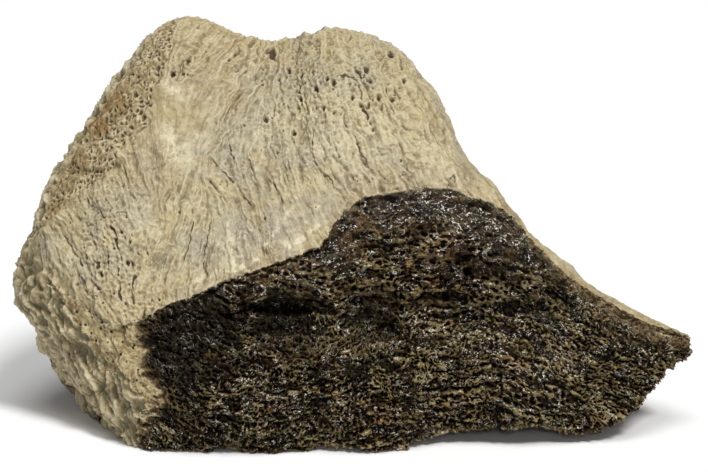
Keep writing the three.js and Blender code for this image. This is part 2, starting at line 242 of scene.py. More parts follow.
class FossilForm(bpy.types.PropertyGroup):
    """Sizes of the bone's fine relief."""

    front_edge: size_setting("Front detail", "Longest mesh edge on the front break", 0.42)
    face_edge: size_setting("Face detail", "Longest mesh edge on the outer bone's face", 0.42)
    plate_edge: size_setting("Plate detail", "Longest mesh edge on the end plate", 0.4)
    back_edge: size_setting("Back detail", "Longest mesh edge behind and below", 0.9)
    pore_depth: size_setting("Pore depth", "Depth of the spongy bone's open pores", 1.8)
    pore_size: size_setting("Pore size", "Spacing of the spongy bone's pores", 1.5)
    furrow_depth: size_setting("Furrow depth", "Depth of the furrows between bundles of fibres", 0.26)
    knob_height: size_setting("Knob height", "Height of the end plate's knobs", 2.1)


def colour_setting(name, description, default):
    return bpy.props.FloatVectorProperty(
        name=name, description=description, default=default, subtype="COLOR"
    )


class FossilColours(bpy.types.PropertyGroup):
    """Colours of the bone, as seen in daylight."""

    bone: colour_setting("Bone", "Most of the outer bone", (0.44, 0.365, 0.195))
    # This colour is also a painted highlight on the tops of the end plate's knobs.
    pale: colour_setting("Pale bone", "Worn patches, veins and raised edges", (0.62, 0.555, 0.38))
    tan: colour_setting("Tan", "Warm stains on the outer bone", (0.31, 0.225, 0.105))
    blush: colour_setting("Blush", "Small rosy drifts in the outer bone", (0.36, 0.265, 0.155))
    grey: colour_setting("Grey", "Greyer drifts in the outer bone", (0.35, 0.315, 0.22))
    cool: colour_setting("Cool grey", "Coolest places of the outer bone", (0.34, 0.31, 0.25))
    # This colour is also painted shade in the hollows of the dense bone and of the break beside the end
    # plate, and under the end plate's knobs.
    dirt_and_shade: colour_setting("Dirt", "Furrows of the outer bone", (0.15, 0.105, 0.05))
    rust: colour_setting("Rust", "Orange-brown areas of the worn rim", (0.24, 0.145, 0.05))
    # This colour is also painted shade in the end plate's valleys and at its left end.
    green_stain_and_shade: colour_setting("Green stain", "Green-grey stains", (0.105, 0.095, 0.045))
    # This colour is also painted shade in the hollows of the worn rim.
    crack: colour_setting("Crack", "Cracks and canals", (0.045, 0.028, 0.014))
    rim_pit: colour_setting("Rim pits", "Fine pits of the worn rim", (0.10, 0.065, 0.025))
    knob_pit: colour_setting("Plate grime", "Fine dark grain of the end plate", (0.12, 0.095, 0.045))
    strut: colour_setting("Strut", "Top of the spongy bone's walls", (0.22, 0.125, 0.04))
    # Painted shade: this colour darkens the spongy bone's pores, hollows and shadowed places, and it is also
    # used for black blotches.
    pore: colour_setting("Pore", "Depth of the spongy bone's pores", (0.0035, 0.002, 0.0008))
    amber: colour_setting("Amber", "Orange-brown areas of the spongy bone", (0.2, 0.085, 0.018))
    # Painted highlight: these glints stand in for the shine of the spongy bone.
    painted_glint: colour_setting("Glint", "Bright mineral grains in the spongy bone", (0.8, 0.76, 0.68))
    olive: colour_setting("Olive", "Green-brown areas of the spongy bone", (0.145, 0.125, 0.035))
    wall_edge: colour_setting("Wall edge", "Worn edges of the spongy bone's walls", (0.40, 0.30, 0.14))
    chip: colour_setting("Splinter", "Flat splinters in the spongy bone", (0.15, 0.1, 0.03))
    pale_chip: colour_setting("Pale splinter", "Palest flat splinters", (0.27, 0.22, 0.09))
    soot: colour_setting("Soot", "Blackest grain of the dense bone under the lip", (0.003, 0.002, 0.001))
    umber: colour_setting("Umber", "Brown grain of the dense bone under the lip", (0.105, 0.064, 0.028))
    fringe: colour_setting("Fringe", "Dark grain along the lip", (0.07, 0.052, 0.026))
    pale_fringe: colour_setting("Pale fringe", "Pale grain along the lip", (0.27, 0.22, 0.13))
    strip: colour_setting("Strip", "Dark grain of the strip along the wing", (0.06, 0.038, 0.016))
    pale_strip: colour_setting("Pale strip", "Pale grain of the strip along the wing", (0.26, 0.19, 0.10))
    strip_pit: colour_setting("Strip pits", "Fine pits of the strip along the wing", (0.03, 0.02, 0.01))
    beside: colour_setting("Beside the plate", "Brown grain beside the end plate", (0.22, 0.15, 0.07))
    stain: colour_setting("Stain", "Dark stain between the end plate and the break", (0.035, 0.024, 0.011))
    pale_stain: colour_setting("Pale stain", "Lighter grain of that stain", (0.16, 0.10, 0.045))
    dust: colour_setting("Dust", "Dust on the back break", (0.24, 0.18, 0.095))


# ---- Noise ----

# Large odd numbers that scramble a cell's numbers into a random-looking one.
HASH_FACTORS = [np.uint64(factor) for factor in (374761393, 668265263, 2246822519, 3266489917)]
HASH_MASK = np.uint64(2**32 - 1)
# Added to each cell's numbers, so that none of them is below 0.
CELL_SHIFT = 4096
# Brings a ripple to about -1 to 1.
RIPPLE_GAIN = 1.6
# How much finer each octave is than the one before. A whole number would line their lumps up.
OCTAVE_STEP = 2.03


def smooth(value, low, high):
    """0 below low, 1 above high, and a soft step between. With low above high it steps down instead."""
    t = np.clip((value - low) / (high - low), 0, 1)
    return t * t * (3 - 2 * t)


def lattice(cell, seed):
    """One fixed pseudo-random number from 0 to 1 for each whole-number cell (n, 3)."""
    first, second, third, fourth = HASH_FACTORS
    x, y, z = cell.astype(np.uint64).T
    h = (x * first + y * second + z * third + np.uint64(seed) * fourth) & HASH_MASK
    h = ((h ^ (h >> np.uint64(15))) * third) & HASH_MASK
    h = ((h ^ (h >> np.uint64(13))) * fourth) & HASH_MASK
    return (h ^ (h >> np.uint64(16))) / float(HASH_MASK)


def ripple(points, seed):
    """Smooth gradient noise of about -1 to 1 at points (n, 3), with lumps one unit across."""
    home = np.floor(points).astype(np.int64)
    local = points - home
    fade = local * local * local * (local * (local * 6 - 15) + 10)
    total = np.zeros(len(points))
    for corner in np.ndindex(2, 2, 2):
        cell = home + corner + CELL_SHIFT
        turn = lattice(cell, seed) * 2 * math.pi
        rise = lattice(cell, seed + 1) * 2 - 1
        flat = np.sqrt(1 - rise * rise)
        away = local - corner
        slope = away[:, 0] * flat * np.cos(turn) + away[:, 1] * flat * np.sin(turn) + away[:, 2] * rise
        weight = np.prod(np.where(np.array(corner), fade, 1 - fade), axis=1)
        total += weight * slope
    return total * RIPPLE_GAIN


def octaves(points, seed, count=3):
    """Sum of ripples, each about half as large and half as strong as the one before."""
    total = np.zeros(len(points))
    for octave in range(count):
        total += 0.5**octave * ripple(points * OCTAVE_STEP**octave, seed + 7 * octave)
    return total


def cells(points, seed):
    """Distances to the nearest and second nearest seed of a jittered grid, and the nearest one's number."""
    home = np.floor(points).astype(np.int64)
    first = np.full(len(points), 9.0)
    second = np.full(len(points), 9.0)
    label = np.zeros(len(points))
    for step in np.ndindex(3, 3, 3):
        cell = home + step - 1
        seeds = np.stack([lattice(cell + CELL_SHIFT, seed + axis) for axis in range(3)], axis=1)
        away = cell + seeds - points
        reach = np.sqrt((away * away).sum(axis=1))
        nearer = reach < first
        second = np.where(nearer, first, np.minimum(second, reach))
        label = np.where(nearer, seeds[:, 0], label)
        first = np.where(nearer, reach, first)
    return first, second, label


# ---- Lines and places ----


def read_line(line, x):
    """The second coordinate, at x, of a line whose points run from left to right."""
    return np.interp(x, [p[0] for p in line], [p[1] for p in line])


def side_of(line, x, z):
    """Distance from a line of (x, z): above 0 to the right of its way along, below 0 to its left."""
    best = np.full(len(x), 1e9)
    signed = np.zeros(len(x))
    for (ax, az), (bx, bz) in zip(line, line[1:]):
        dx, dz = bx - ax, bz - az
        t = np.clip(((x - ax) * dx + (z - az) * dz) / (dx * dx + dz * dz), 0, 1)
        ox, oz = x - ax - t * dx, z - az - t * dz
        reach = np.hypot(ox, oz)
        cross = dz * (x - ax) - dx * (z - az)
        nearer = reach < best
        signed = np.where(nearer, np.where(cross > 0, reach, -reach), signed)
        best = np.where(nearer, reach, best)
    return signed


def near_lines(lines, x, z):
    """Distance to the nearest of several open lines of (x, z)."""
    return np.min([np.abs(side_of(line, x, z)) for line in lines], axis=0)


def spots(places, x, z, wobble):
    """The strongest of several soft round spots (x, z, radius, strength) at each place."""
    strongest = np.zeros(len(x))
    for px, pz, radius, strength in places:
        reach = np.hypot(x - px, z - pz) / radius
        strongest = np.maximum(strongest, strength * smooth(reach + wobble, 1.15, 0.3))
    return strongest


# ---- Mesh work on arrays of points (n, 3) in millimetres and triangles (m, 3) ----


def node_mesh(name):
    """The CAD node's welded points and triangles, in millimetres."""
    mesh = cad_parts[name].data
    mesh.calc_loop_triangles()
    points = np.empty(len(mesh.vertices) * 3)
    mesh.vertices.foreach_get("co", points)
    triangles = np.empty(len(mesh.loop_triangles) * 3, dtype=np.int64)
    mesh.loop_triangles.foreach_get("vertices", triangles)
    points, triangles = points.reshape(-1, 3) / MM, triangles.reshape(-1, 3)
    unique, where = np.unique(np.round(points, 3), axis=0, return_inverse=True)
    return unique, where.reshape(-1)[triangles]


def normals_of(points, triangles):
    """Unit normal at each point, weighted by the area of its triangles."""
    a, b, c = (points[triangles[:, k]] for k in range(3))
    face = np.cross(b - a, c - a)
    total = np.zeros_like(points)
    for axis in range(3):
        for k in range(3):
            total[:, axis] += np.bincount(triangles[:, k], face[:, axis], len(points))
    return total / np.maximum(np.linalg.norm(total, axis=1, keepdims=True), 1e-12)


def neighbour_mean(values, triangles):
    """Mean of each point's neighbours."""
    count = np.bincount(triangles.ravel(), minlength=len(values)).astype(float)
    total = np.zeros_like(values)
    for axis in range(values.shape[1]):
        for k in range(3):
            following = values[triangles[:, (k + 1) % 3], axis]
            total[:, axis] += np.bincount(triangles[:, k], following, len(values))
    return total / np.maximum(count, 1)[:, None]


def relaxed(points, triangles, share, passes):
    """Points eased towards their neighbours; share is one number or one per point."""
    share = np.broadcast_to(share, len(points))[:, None]
    for _ in range(passes):
        points = points + share * (neighbour_mean(points, triangles) - points)
    return points


def split_long_edges(points, triangles, limit):
    """One round: each edge longer than limit(middles, normals) gets a point on the curved surface over it."""
    normals = normals_of(points, triangles)
    n = np.int64(len(points))
    ends = np.concatenate([triangles[:, [k, (k + 1) % 3]] for k in range(3)])
    key, edge = np.unique(ends.min(axis=1) * n + ends.max(axis=1), return_inverse=True)
    edge = edge.reshape(3, -1)
    a, b = key // n, key % n
    middle = (points[a] + points[b]) / 2
    length = np.linalg.norm(points[a] - points[b], axis=1)
    marked = length > limit(middle, normals[a] + normals[b])
    for _ in range(3):
        longest = edge[np.argmax(length[edge], axis=0), np.arange(edge.shape[1])]
        touched = marked[edge].any(axis=0)
        marked[longest[touched]] = True
    lift = [((points[e] - middle) * normals[e]).sum(axis=1, keepdims=True) * normals[e] for e in (a, b)]
    middle = middle + 0.3 * (lift[0] + lift[1])
    number = np.where(marked, n + np.cumsum(marked) - 1, -1)
    points = np.concatenate([points, middle[marked]])
    cut = marked[edge].sum(axis=0)
    out = [triangles[cut == 0]]
    # Turn each cut triangle so that its cut edges come first: then one pattern serves each count.
    for count in (1, 2, 3):
        chosen = np.flatnonzero(cut == count)
        corners, edges = triangles[chosen], edge[:, chosen].T
        if count < 3:
            state = marked[edges]
            start = np.argmax(state, axis=1) if count == 1 else (np.argmin(state, axis=1) + 1) % 3
            order = (start[:, None] + np.arange(3)) % 3
            corners = np.take_along_axis(corners, order, axis=1)
            edges = np.take_along_axis(edges, order, axis=1)
        p, q, r = corners.T
        pq, qr, rp = number[edges].T
        if count == 1:
            out += [np.stack(t, axis=1) for t in ((p, pq, r), (pq, q, r))]
        elif count == 2:
            one_way = np.linalg.norm(points[p] - points[qr], axis=1)
            shorter = one_way < np.linalg.norm(points[pq] - points[r], axis=1)
            third, first = np.where(shorter, qr, r), np.where(shorter, p, pq)
            out += [np.stack(t, axis=1) for t in ((pq, q, qr), (p, pq, third), (first, qr, r))]
        else:
            out += [np.stack(t, axis=1) for t in ((p, pq, rp), (pq, q, qr), (rp, qr, r), (pq, qr, rp))]
    return points, np.concatenate(out)


# ---- The bone's surface ----


def fibre_way(x, z):
    """Unit direction (x, z) of the fibres at a place."""
    across, up = np.zeros(len(x)), np.zeros(len(x))
    for fx, fz, lean in FIBRES:
        weight = 1 / ((x - fx) ** 2 + (z - fz) ** 2 + 9) ** 2 / math.hypot(1, lean)
        across -= weight * lean
        up += weight
    length = np.hypot(across, up)
    return across / length, up / length


def combed(x, z, period, reach, seed):
    """Noise with lumps one period across, drawn out along the fibres."""
    total = np.zeros(len(x))
    stride = reach / COMB_STEPS
    for sign in (stride, -stride):
        px, pz = x, z
        for _ in range(COMB_STEPS):
            across, up = fibre_way(px, pz)
            px, pz = px + sign * across, pz + sign * up
            total += ripple(np.stack([px / period, pz / period, np.full(len(x), 0.37)], axis=1), seed)
    return total / total.std()


class Surface:
    """The whole bone as one fine mesh, and what each point is made of. It is handed out by region."""

    def __init__(self, form):
        self.form = form
        self.points, self.triangles = node_mesh("vertebra")
        plate = np.array(PLATE_RIM, dtype=float)
        self.plate_middle = plate.mean(axis=0)
        turned = np.roll(plate, -1, axis=0)
        out = np.cross(plate - self.plate_middle, turned - self.plate_middle).sum(axis=0)
        out = out / np.linalg.norm(out)
        self.plate_out = out if out[0] < 0 else -out
        self.refine()
        self.sort_regions()
        self.raise_relief()
        self.read_hollows()

    def edge_limit(self, middle, normal):
        """Longest edge allowed at a place, by how much is seen of it."""
        form = self.form
        x, y, z = middle.T
        facing = normal[:, 1] / np.maximum(np.linalg.norm(normal, axis=1), 1e-9)
        front = y < read_line(CREST, x) + 3
        below_lip = z < read_line(LIP, x) + 1
        on_plate = (middle - self.plate_middle) @ self.plate_out > -3
        limit = np.full(len(x), form.back_edge / MM)
        limit = np.where(front & (facing < 0.3), form.face_edge / MM, limit)
        limit = np.where(front & below_lip & (facing < 0.25), form.front_edge / MM, limit)
        limit = np.where(on_plate, form.plate_edge / MM, limit)
        under = (z < 0.6) & (y > -30)
        return np.where(under, form.back_edge / MM, limit)

    def refine(self):
        """Splits and rounds the solid's faces, but keeps the lip sharp and the underside flat."""
        points, triangles = self.points, self.triangles
        for rounds in range(REFINE_ROUNDS):
            points, triangles = split_long_edges(points, triangles, self.edge_limit)
            from_lip = np.abs(points[:, 2] - read_line(LIP, points[:, 0]))
            ease = np.where(points[:, 2] < 0.05, 0, 0.5 * smooth(from_lip, 0.5, 3))
            points = relaxed(points, triangles, ease, 2 if rounds == 0 else 1)
        self.points, self.triangles = points, triangles
        self.normals = normals_of(points, triangles)

    def sort_regions(self):
        """Says for each point which kind of bone it is, and how far it lies from the borders."""
        p, normals = self.points, self.normals
        x, y, z = p.T
        over = np.maximum(y - read_line(CREST, x), 0)
        self.behind = over > 0
        # Height that goes on rising behind the crest, so that fibres run over it.
        self.rise = z + 2 * over
        lip_line = np.abs(side_of(LIP, x, z)) * np.where(z > read_line(LIP, x), 1, -1)
        self.lip = np.where(self.behind, FAR, lip_line + 0.35 * octaves(p / 1.6, 11))
        brink = np.where(self.behind, z - read_line(BRINK, x), FAR)
        under = (z < 0.7) & (normals[:, 2] < -0.6)
        # The end plate: its cap, what rolls on behind the crest, and small faces at its foot.
        plate_reach = (p - self.plate_middle) @ self.plate_out
        on_cap = (plate_reach > -0.8 + 0.6 * ripple(p / 3, 5)) & (z > 0)
        on_side = self.behind & (x < PLATE_END + 1.5 * ripple(p / 4, 6)) & (brink > 0)
        at_foot = (x < PLATE_END) & (z < FOOT_TOP) & (normals[:, 0] < -0.55) & ~self.behind & ~under
        streaks = octaves(p / (6, 2, 1.5), 13)
        self.dark = -side_of(DARK_EDGE, x, z) + (1.6 + 1.6 * smooth(z, 17, 8)) * streaks
        at_break = (self.dark > -1.0) & ~self.behind & (z < BESIDE_TOP)
        self.on_plate = (on_cap & ~at_break) | on_side | at_foot
        knobby = smooth(plate_reach + 1.2 * ripple(p / 4, 7), -5.5, -0.5)
        self.knobby = np.maximum(knobby, 1.0 * on_side)
        # The flank of the wing looks up and back, so it is outer bone although it lies below the lip.
        flank = (x > WING_START) & (normals[:, 1] > -0.3) & (normals[:, 2] > 0.4)
        right, back, high = WING_FLANK
        flank |= (x > right) & (y > back) & (z > high)
        self.on_front = ((self.lip < 0) | at_break) & ~(self.on_plate | self.behind | flank | under)
        broken = self.behind & (brink + 1.6 * octaves(p / 4, 12) < 0)
        self.on_back = ~self.on_plate & (broken | under)
        self.on_face = ~(self.on_plate | self.on_front | self.on_back)
        strip = side_of(STRIP_EDGE, x, z) + 0.7 * octaves(p / 2.0, 14)
        self.strip = smooth(strip, 0.6, -3.4) * smooth(x, 32, 44)
        rim = side_of(RIM_EDGE, x, z) + 1.4 * octaves(p / 3.0, 15)
        self.rim = smooth(rim, 0.9, -0.9) * smooth(x, -34, -39)

    def keep(self, name, index, values):
        """Stores a value for each point of index, for the materials to read."""
        self.values.setdefault(name, np.zeros(len(self.points)))[index] = values

    def raise_relief(self):
        """Pushes each point in or out by the relief of its kind of bone."""
        self.values = {}
        push = np.zeros(len(self.points))
        bone = np.flatnonzero(self.on_face | self.on_plate)
        push[bone] = self.bone_relief(bone)
        front = np.flatnonzero(self.on_front)
        push[front] = self.front_relief(front)
        back = np.flatnonzero(self.on_back)
        push[back] = self.back_relief(back)
        pull = self.normals.copy()
        pull[self.on_front] += BREAK_LEAN
        pull /= np.linalg.norm(pull, axis=1, keepdims=True)
        self.points = self.points + pull * push[:, None]
        self.points[:, 2] = np.maximum(self.points[:, 2], 0)

    def read_hollows(self):
        """Notes what stands out from its near and its wider surroundings, and what looks down."""
        normals = normals_of(self.points, self.triangles)
        near = relaxed(self.points, self.triangles, 0.7, 2)
        wide = relaxed(near, self.triangles, 0.7, 8)
        everything = np.arange(len(self.points))
        # Where the relief looks down more than the smooth surface does; the end plate's material paints shade
        # there.
        self.keep("under", everything, smooth(self.normals[:, 2] - normals[:, 2], 0.08, 0.6))
        self.keep("edge", everything, ((self.points - near) * normals).sum(axis=1))
        self.keep("hollow", everything, ((self.points - wide) * normals).sum(axis=1))

    def bone_relief(self, index):
        """Dense bone: flakes and fibres, pits, canals and cracks, a worn rim and a knobby end plate."""
        p = self.points[index]
        x, z = p[:, 0], p[:, 2]
        seen = ~self.behind[index]
        rim, knobby, lip = self.rim[index], self.knobby[index], self.lip[index]
        calm = 0.5 * smooth(z, 84, 90) + 0.6 * smooth(x, 22, 34)
        calm = np.clip(calm + spots(CALM_SPOTS, x, z, 0.3 * ripple(p / 5, 90)), 0, 0.85)
        pitted = np.clip(spots(PIT_SPOTS, x, z, 0.4 * ripple(p / 4, 97)) + 0.08, 0, 1) * (1 - rim)
        push, holes = self.fibrous(index, calm, pitted)
        push += 0.4 * octaves(p / 6.0, 94) + 0.13 * octaves(p / 1.0, 95)
        # Bumps that roughen the outline of the crest.
        push += 0.5 * smooth(z, 70, 84) * octaves(p / 2.6, 96)
        pit, rise = self.pits(p, pitted)
        push += rise
        canal, crack, rise = self.canals_and_cracks(p, seen)
        push += rise
        speckle = self.speckles(p)
        push -= 0.3 * speckle
        hole, worn, lobe = self.worn_rim(p)
        push = push * (1 - rim) + worn * rim + 0.9 * lobe * seen
        knobs, stand = self.knobs(p)
        push = push * (1 - 0.8 * knobby) + knobs * knobby
        push += smooth(lip, 1.4, 0.0) * 0.2 * octaves(p / 1.1, 114)
        holes += [0.95 * canal, 0.8 * crack, 0.75 * pit, 0.8 * speckle, 0.7 * rim * hole]
        self.keep("hole", index, np.clip(np.maximum.reduce(holes), 0, 1))
        self.keep("rim", index, rim * (1 - knobby))
        self.keep("knobby", index, knobby)
        # Painted shade in the end plate's valleys.
        self.keep("valley_shade", index, smooth(stand, 0.2, -0.3) * knobby)
        stained = spots(OLIVE_SPOTS, x, z, 0)
        # Painted highlight on the tops of the end plate's knobs.
        self.keep("painted_highlight", index, smooth(stand, 0.1, 0.5) * knobby * (1 - 0.8 * stained))
        self.bone_stains(index)
        return push

    def bone_stains(self, index):
        """Keeps where the dense bone is pale, tan, rusty, green or cool."""
        p = self.points[index]
        x, z = p[:, 0], p[:, 2]
        seen = ~self.behind[index]
        blur = 0.35 * octaves(p / 3, 115)
        vein = smooth(near_lines(VEINS, x, z) + 0.5 * octaves(p / 1.6, 105), 0.75, 0.15)
        by_lip = 0.7 * smooth(self.lip[index], 7, 0.3)
        self.keep("pale", index, np.maximum(vein, spots(PALE_SPOTS, x, z, blur)) * seen)
        self.keep("tan", index, np.maximum(spots(TAN_SPOTS, x, z, blur) * seen, by_lip))
        self.keep("rust", index, spots(RUST_SPOTS, x, z, blur) * self.rim[index])
        self.keep("olive", index, spots(OLIVE_SPOTS, x, z, blur) * (z < 60))
        self.keep("cool", index, spots(COOL_SPOTS, x, z, blur) * seen)

    def fibrous(self, index, calm, pitted):
        """Relief of thin flakes and furrowed bundles of fibres, and the scratches and dashes in them."""
        p = self.points[index]
        drift_x = p[:, 0] + 0.8 * octaves(p / 4.5, 81, 2)
        drift_z = self.rise[index] + 0.8 * octaves(p / 4.5, 83, 2)
        sheet = combed(drift_x, drift_z, 2.4, 7.0, 80)
        bundle = combed(drift_x, drift_z, 1.05, 3.2, 84)
        fibre = combed(drift_x, drift_z, 0.52, 1.6, 88)
        dash = combed(drift_x, drift_z, 0.72, 0.9, 86)
        patchy = smooth(octaves(p / 6.5, 91), -0.5, 0.4)
        flake = 1.3 * sheet + 0.9 * octaves(p / 4.5, 92)
        step = flake - np.floor(flake)
        flake = np.floor(flake) + smooth(step, 0.75, 1.0)
        ledge = smooth(np.abs(step - 0.84), 0.12, 0.02) * smooth(ripple(p / 2.5, 93), -0.1, 0.3)
        furrow = smooth(-bundle, 0.8, 1.8) * patchy
        push = 0.2 * flake + 0.09 * bundle + 0.08 * fibre - self.form.furrow_depth / MM * furrow
        worms = 0.5 - np.abs(ripple(p / (1.5, 1.3, 1.0), 89)) * 2.2
        push = push * (1 - calm) * (1 - 0.5 * pitted) + 0.3 * pitted * worms
        scratch = np.maximum(smooth(-fibre, 1.4, 2.3) * patchy, 0.8 * ledge) * (1 - calm)
        dash = smooth(-dash, 1.35, 2.2) * (0.15 + pitted)
        push -= 0.16 * scratch + 0.4 * np.minimum(dash, 1)
        self.keep("fibre", index, 0.5 * fibre + 0.5 * bundle)
        return push, [0.5 * scratch, 0.75 * dash]

    def pits(self, p, pitted):
        """Small ragged pits with raised rims, as thick as pitted says."""
        first, _, label = cells(p / (1.25, 1.25, 1.6), 100)
        chance = np.clip((label - 1 + 0.62 * pitted) / (0.62 * pitted + 0.01), 0, 1)
        ragged = first + 0.16 * octaves(p / 0.6, 99, 2)
        pit = smooth(ragged, 0.12 + 0.26 * chance, 0.04 + 0.08 * chance) * smooth(chance, 0.0, 0.1)
        raised = smooth(np.abs(ragged - 0.42), 0.14, 0) * (chance > 0)
        return pit, 0.1 * raised - 0.55 * pit + 0.16 * pitted * octaves(p / 0.9, 98)

    def canals_and_cracks(self, p, seen):
        """Round canals with raised rims, and broken cracks whose left side stands up."""
        x, z = p[:, 0], p[:, 2]
        push, canal, crack = np.zeros((3, len(x)))
        wobble = 0.5 * octaves(p / 0.9, 101)
        for cx, cz, radius in CANALS:
            reach = np.hypot(x - cx, (z - cz) * 0.8) / radius + wobble
            canal = np.maximum(canal, seen * smooth(reach, 1.25, 0.5))
            push += 0.25 * smooth(np.abs(reach - 1.9), 0.8, 0) * seen
        wobble = 0.3 * octaves(p / 1.3, 102, 2)
        broken = seen * smooth(ripple(p / 2.0, 116), -0.5, 0.1)
        for line in CRACKS:
            side = side_of(line, x, z) + wobble
            crack = np.maximum(crack, broken * smooth(np.abs(side), 0.26, 0.03))
            push += 0.34 * seen * np.where(side < 0, np.exp(side / 1.1), 0)
        return canal, crack, push - 0.9 * canal - 0.3 * crack

    def speckles(self, p):
        """1 in the fine speckles of the patch above the lip."""
        x, z = p[:, 0], p[:, 2]
        middle_x, middle_z, half_width, half_height = SPECKLES
        first, _, label = cells(p / (0.85, 0.85, 0.7), 103)
        speckle = smooth(first, 0.4, 0.2) * smooth(label, 0.5, 0.65)
        reach = np.hypot((x - middle_x) / half_width, (z - middle_z - 0.02 * x) / half_height)
        return speckle * smooth(reach + 0.3 * ripple(p / 1.5, 104), 1.0, 0.6)

    def worn_rim(self, p):
        """The worn rim's open holes, its whole relief, and the rolled lobe that stands on it."""
        x, z = p[:, 0], p[:, 2]
        bent = np.stack([ripple(p / 1.5, seed) for seed in (106, 107, 108)], axis=1)
        first, second, label = cells((p + 0.45 * bent) / (1.2, 1.2, 1.05), 109)
        hole = smooth(second - first, 0.08, 0.42) * smooth(label, 0.3, 0.5)
        relief = 0.45 * octaves(p / 2.8, 112) - 0.35 + 0.15 * octaves(p / 0.8, 113) - 0.7 * hole
        from_lobe = np.hypot((x + 56.5 - 0.3 * (z - 60)) / 6.5, (z - 60.5 - 0.15 * (x + 56)) / 3.2)
        return hole, relief, smooth(from_lobe + 0.15 * ripple(p / 2, 110), 1.05, 0.75)

    def knobs(self, p):
        """Long low knobs in rows that overlap like scales, running down along the plate's front ridge."""
        along = np.array(KNOB_RUN)
        along -= (along @ self.plate_out) * self.plate_out
        along /= np.linalg.norm(along)
        across = np.cross(self.plate_out, along)
        warp = octaves(p / 7.0, 120, 2)
        s, w = p @ along + 1.4 * warp, p @ self.plate_out
        t = p @ across + 1.5 * ripple(p / 5, 122)
        # The noise is read where its own first reading pushes it, which heaps up the knobs' lower ends.
        q = np.stack([s / 2.5, t / 1.15, w / 2.2], axis=1)
        heap = ripple(q, 121)
        large = ripple(q + heap[:, None] * (0.5, 0.2, 0), 121)
        q = np.stack([s / 1.3, t / 0.7, w / 1.4], axis=1)
        small = ripple(q, 123)
        broad = ripple(np.stack([s / 5.0, t / 2.4, w / 4.0], axis=1), 127)
        knobs = 0.55 * large + 0.2 * small * (0.6 + 0.6 * large) + 0.4 * broad
        knobs *= self.form.knob_height / MM
        grain = ripple(np.stack([s / 2.2, t / 0.5, w], axis=1), 124)
        knobs += 0.1 * grain + 0.4 * octaves(p / 5.0, 125, 2) + 0.13 * octaves(p / 0.8, 126, 2)
        first, _, label = cells(p / 1.25, 128)
        pit = smooth(first + 0.16 * ripple(p / 0.5, 129), 0.32, 0.12) * smooth(label, 0.74, 0.8)
        knobs -= 0.5 * pit
        return knobs, large + 0.3 * small + 0.5 * broad

    def sponge(self, p, size, seed):
        """Walls of spongy bone, 1 on a wall and 0 in a pore: one net of winding walls, one of round pores."""
        bend = np.stack([octaves(p / 2.8, seed + turn) for turn in (0, 11, 22)], axis=1)
        q = (p + 0.5 * bend) / (size * np.array([1.1, 1.0, 0.7]))
        a, b = ripple(q, seed + 30), ripple(q * 1.9 + 7.3, seed + 33)
        net = np.maximum(smooth(np.abs(a), 0.27, 0.03), 0.8 * smooth(np.abs(b), 0.3, 0.03))
        first, second, label = cells((p + 0.45 * bend) / (size * np.array([1.15, 1.0, 0.85])), seed + 40)
        round_net = 1 - smooth(second - first, 0.06, 0.36) * smooth(label, 0.2, 0.45)
        return net, round_net

    def front_relief(self, index):
        """Spongy bone snapped across: open pores with ragged walls, in flat layers, dense under the lip."""
        p = self.points[index]
        x, z = p[:, 0], p[:, 2]
        lip, dark, strip = self.lip[index], self.dark[index], self.strip[index]
        # Denser bone lies under the lip, in a deeper layer where the lip stands high.
        upper = smooth(z - 35 + 2.5 * ripple(p / 6, 20), -2, 6) * smooth(x, -14, 0)
        dense = np.clip(upper * smooth(lip, -12, -2) + 0.5 * smooth(lip, -5, -1), 0, 1)
        dense = np.maximum(dense, strip)
        # The layers lie flat in the middle, rise towards the end plate and run down along the wing.
        bend = 0.5 * np.minimum(x + 25, 0) + 0.35 * np.maximum(x - WING_START, 0) + 2.0 * ripple(p / 13, 22)
        laid = p + bend[:, None] * (0, 0, 1)
        wall, push = self.torn_sponge(p, laid, dense, strip)
        splinter = self.splinters(laid, x, z) * (1 - dense)
        torn_out, cleft = self.torn_out(p)
        push += 0.5 * splinter - torn_out - 1.1 * cleft
        low = smooth(z, 30, 20) * (1 - dense)
        push += self.overhangs(p, laid) * low * smooth(dark, 0, 3)
        push -= 0.4 * smooth(lip, -2.6, -0.2) * smooth(x, 38, 32)
        pale = 1 - smooth(dark, -1.5, 3.5)
        pit, rough = self.beside_plate(p)
        push = push * (1 - pale) + rough * pale
        blur = 0.35 * octaves(p / 3, 76)
        # Painted shade: a dark band along the recess, the torn-out hollows and the clefts, together with dark
        # spots.
        shade = smooth(np.abs(z - RECESS - 0.02 * x), 4, 0) * smooth(x, -30, -15) * smooth(x, 52, 40)
        shade_and_dark = [0.6 * shade, spots(GLOOM_SPOTS, x, z, blur), 0.9 * smooth(torn_out, 0.2, 1.2), 0.9 * cleft]
        fringe = smooth(lip + 0.8 * octaves(p / 1.4, 78), -1.5, 0.1) * smooth(x, -6, 2)
        kept = {
            "wall": wall * (1 - dense) + 0.75 * dense,
            "hole": pit * pale,
            "dense": dense,
            "strip": strip,
            "pale": pale,
            "shade_and_dark": np.clip(np.maximum.reduce(shade_and_dark), 0, 1),
            "amber": spots(AMBER_SPOTS, x, z, blur),
            "shiny": spots(SHINY_SPOTS, x, z, blur),
            "bend": bend * MM,
            "splinter": splinter,
            "fringe": fringe * smooth(ripple(p / 2.5, 83), -0.4, 0.2),
        }
        for name, values in kept.items():
            self.keep(name, index, values)
        return push

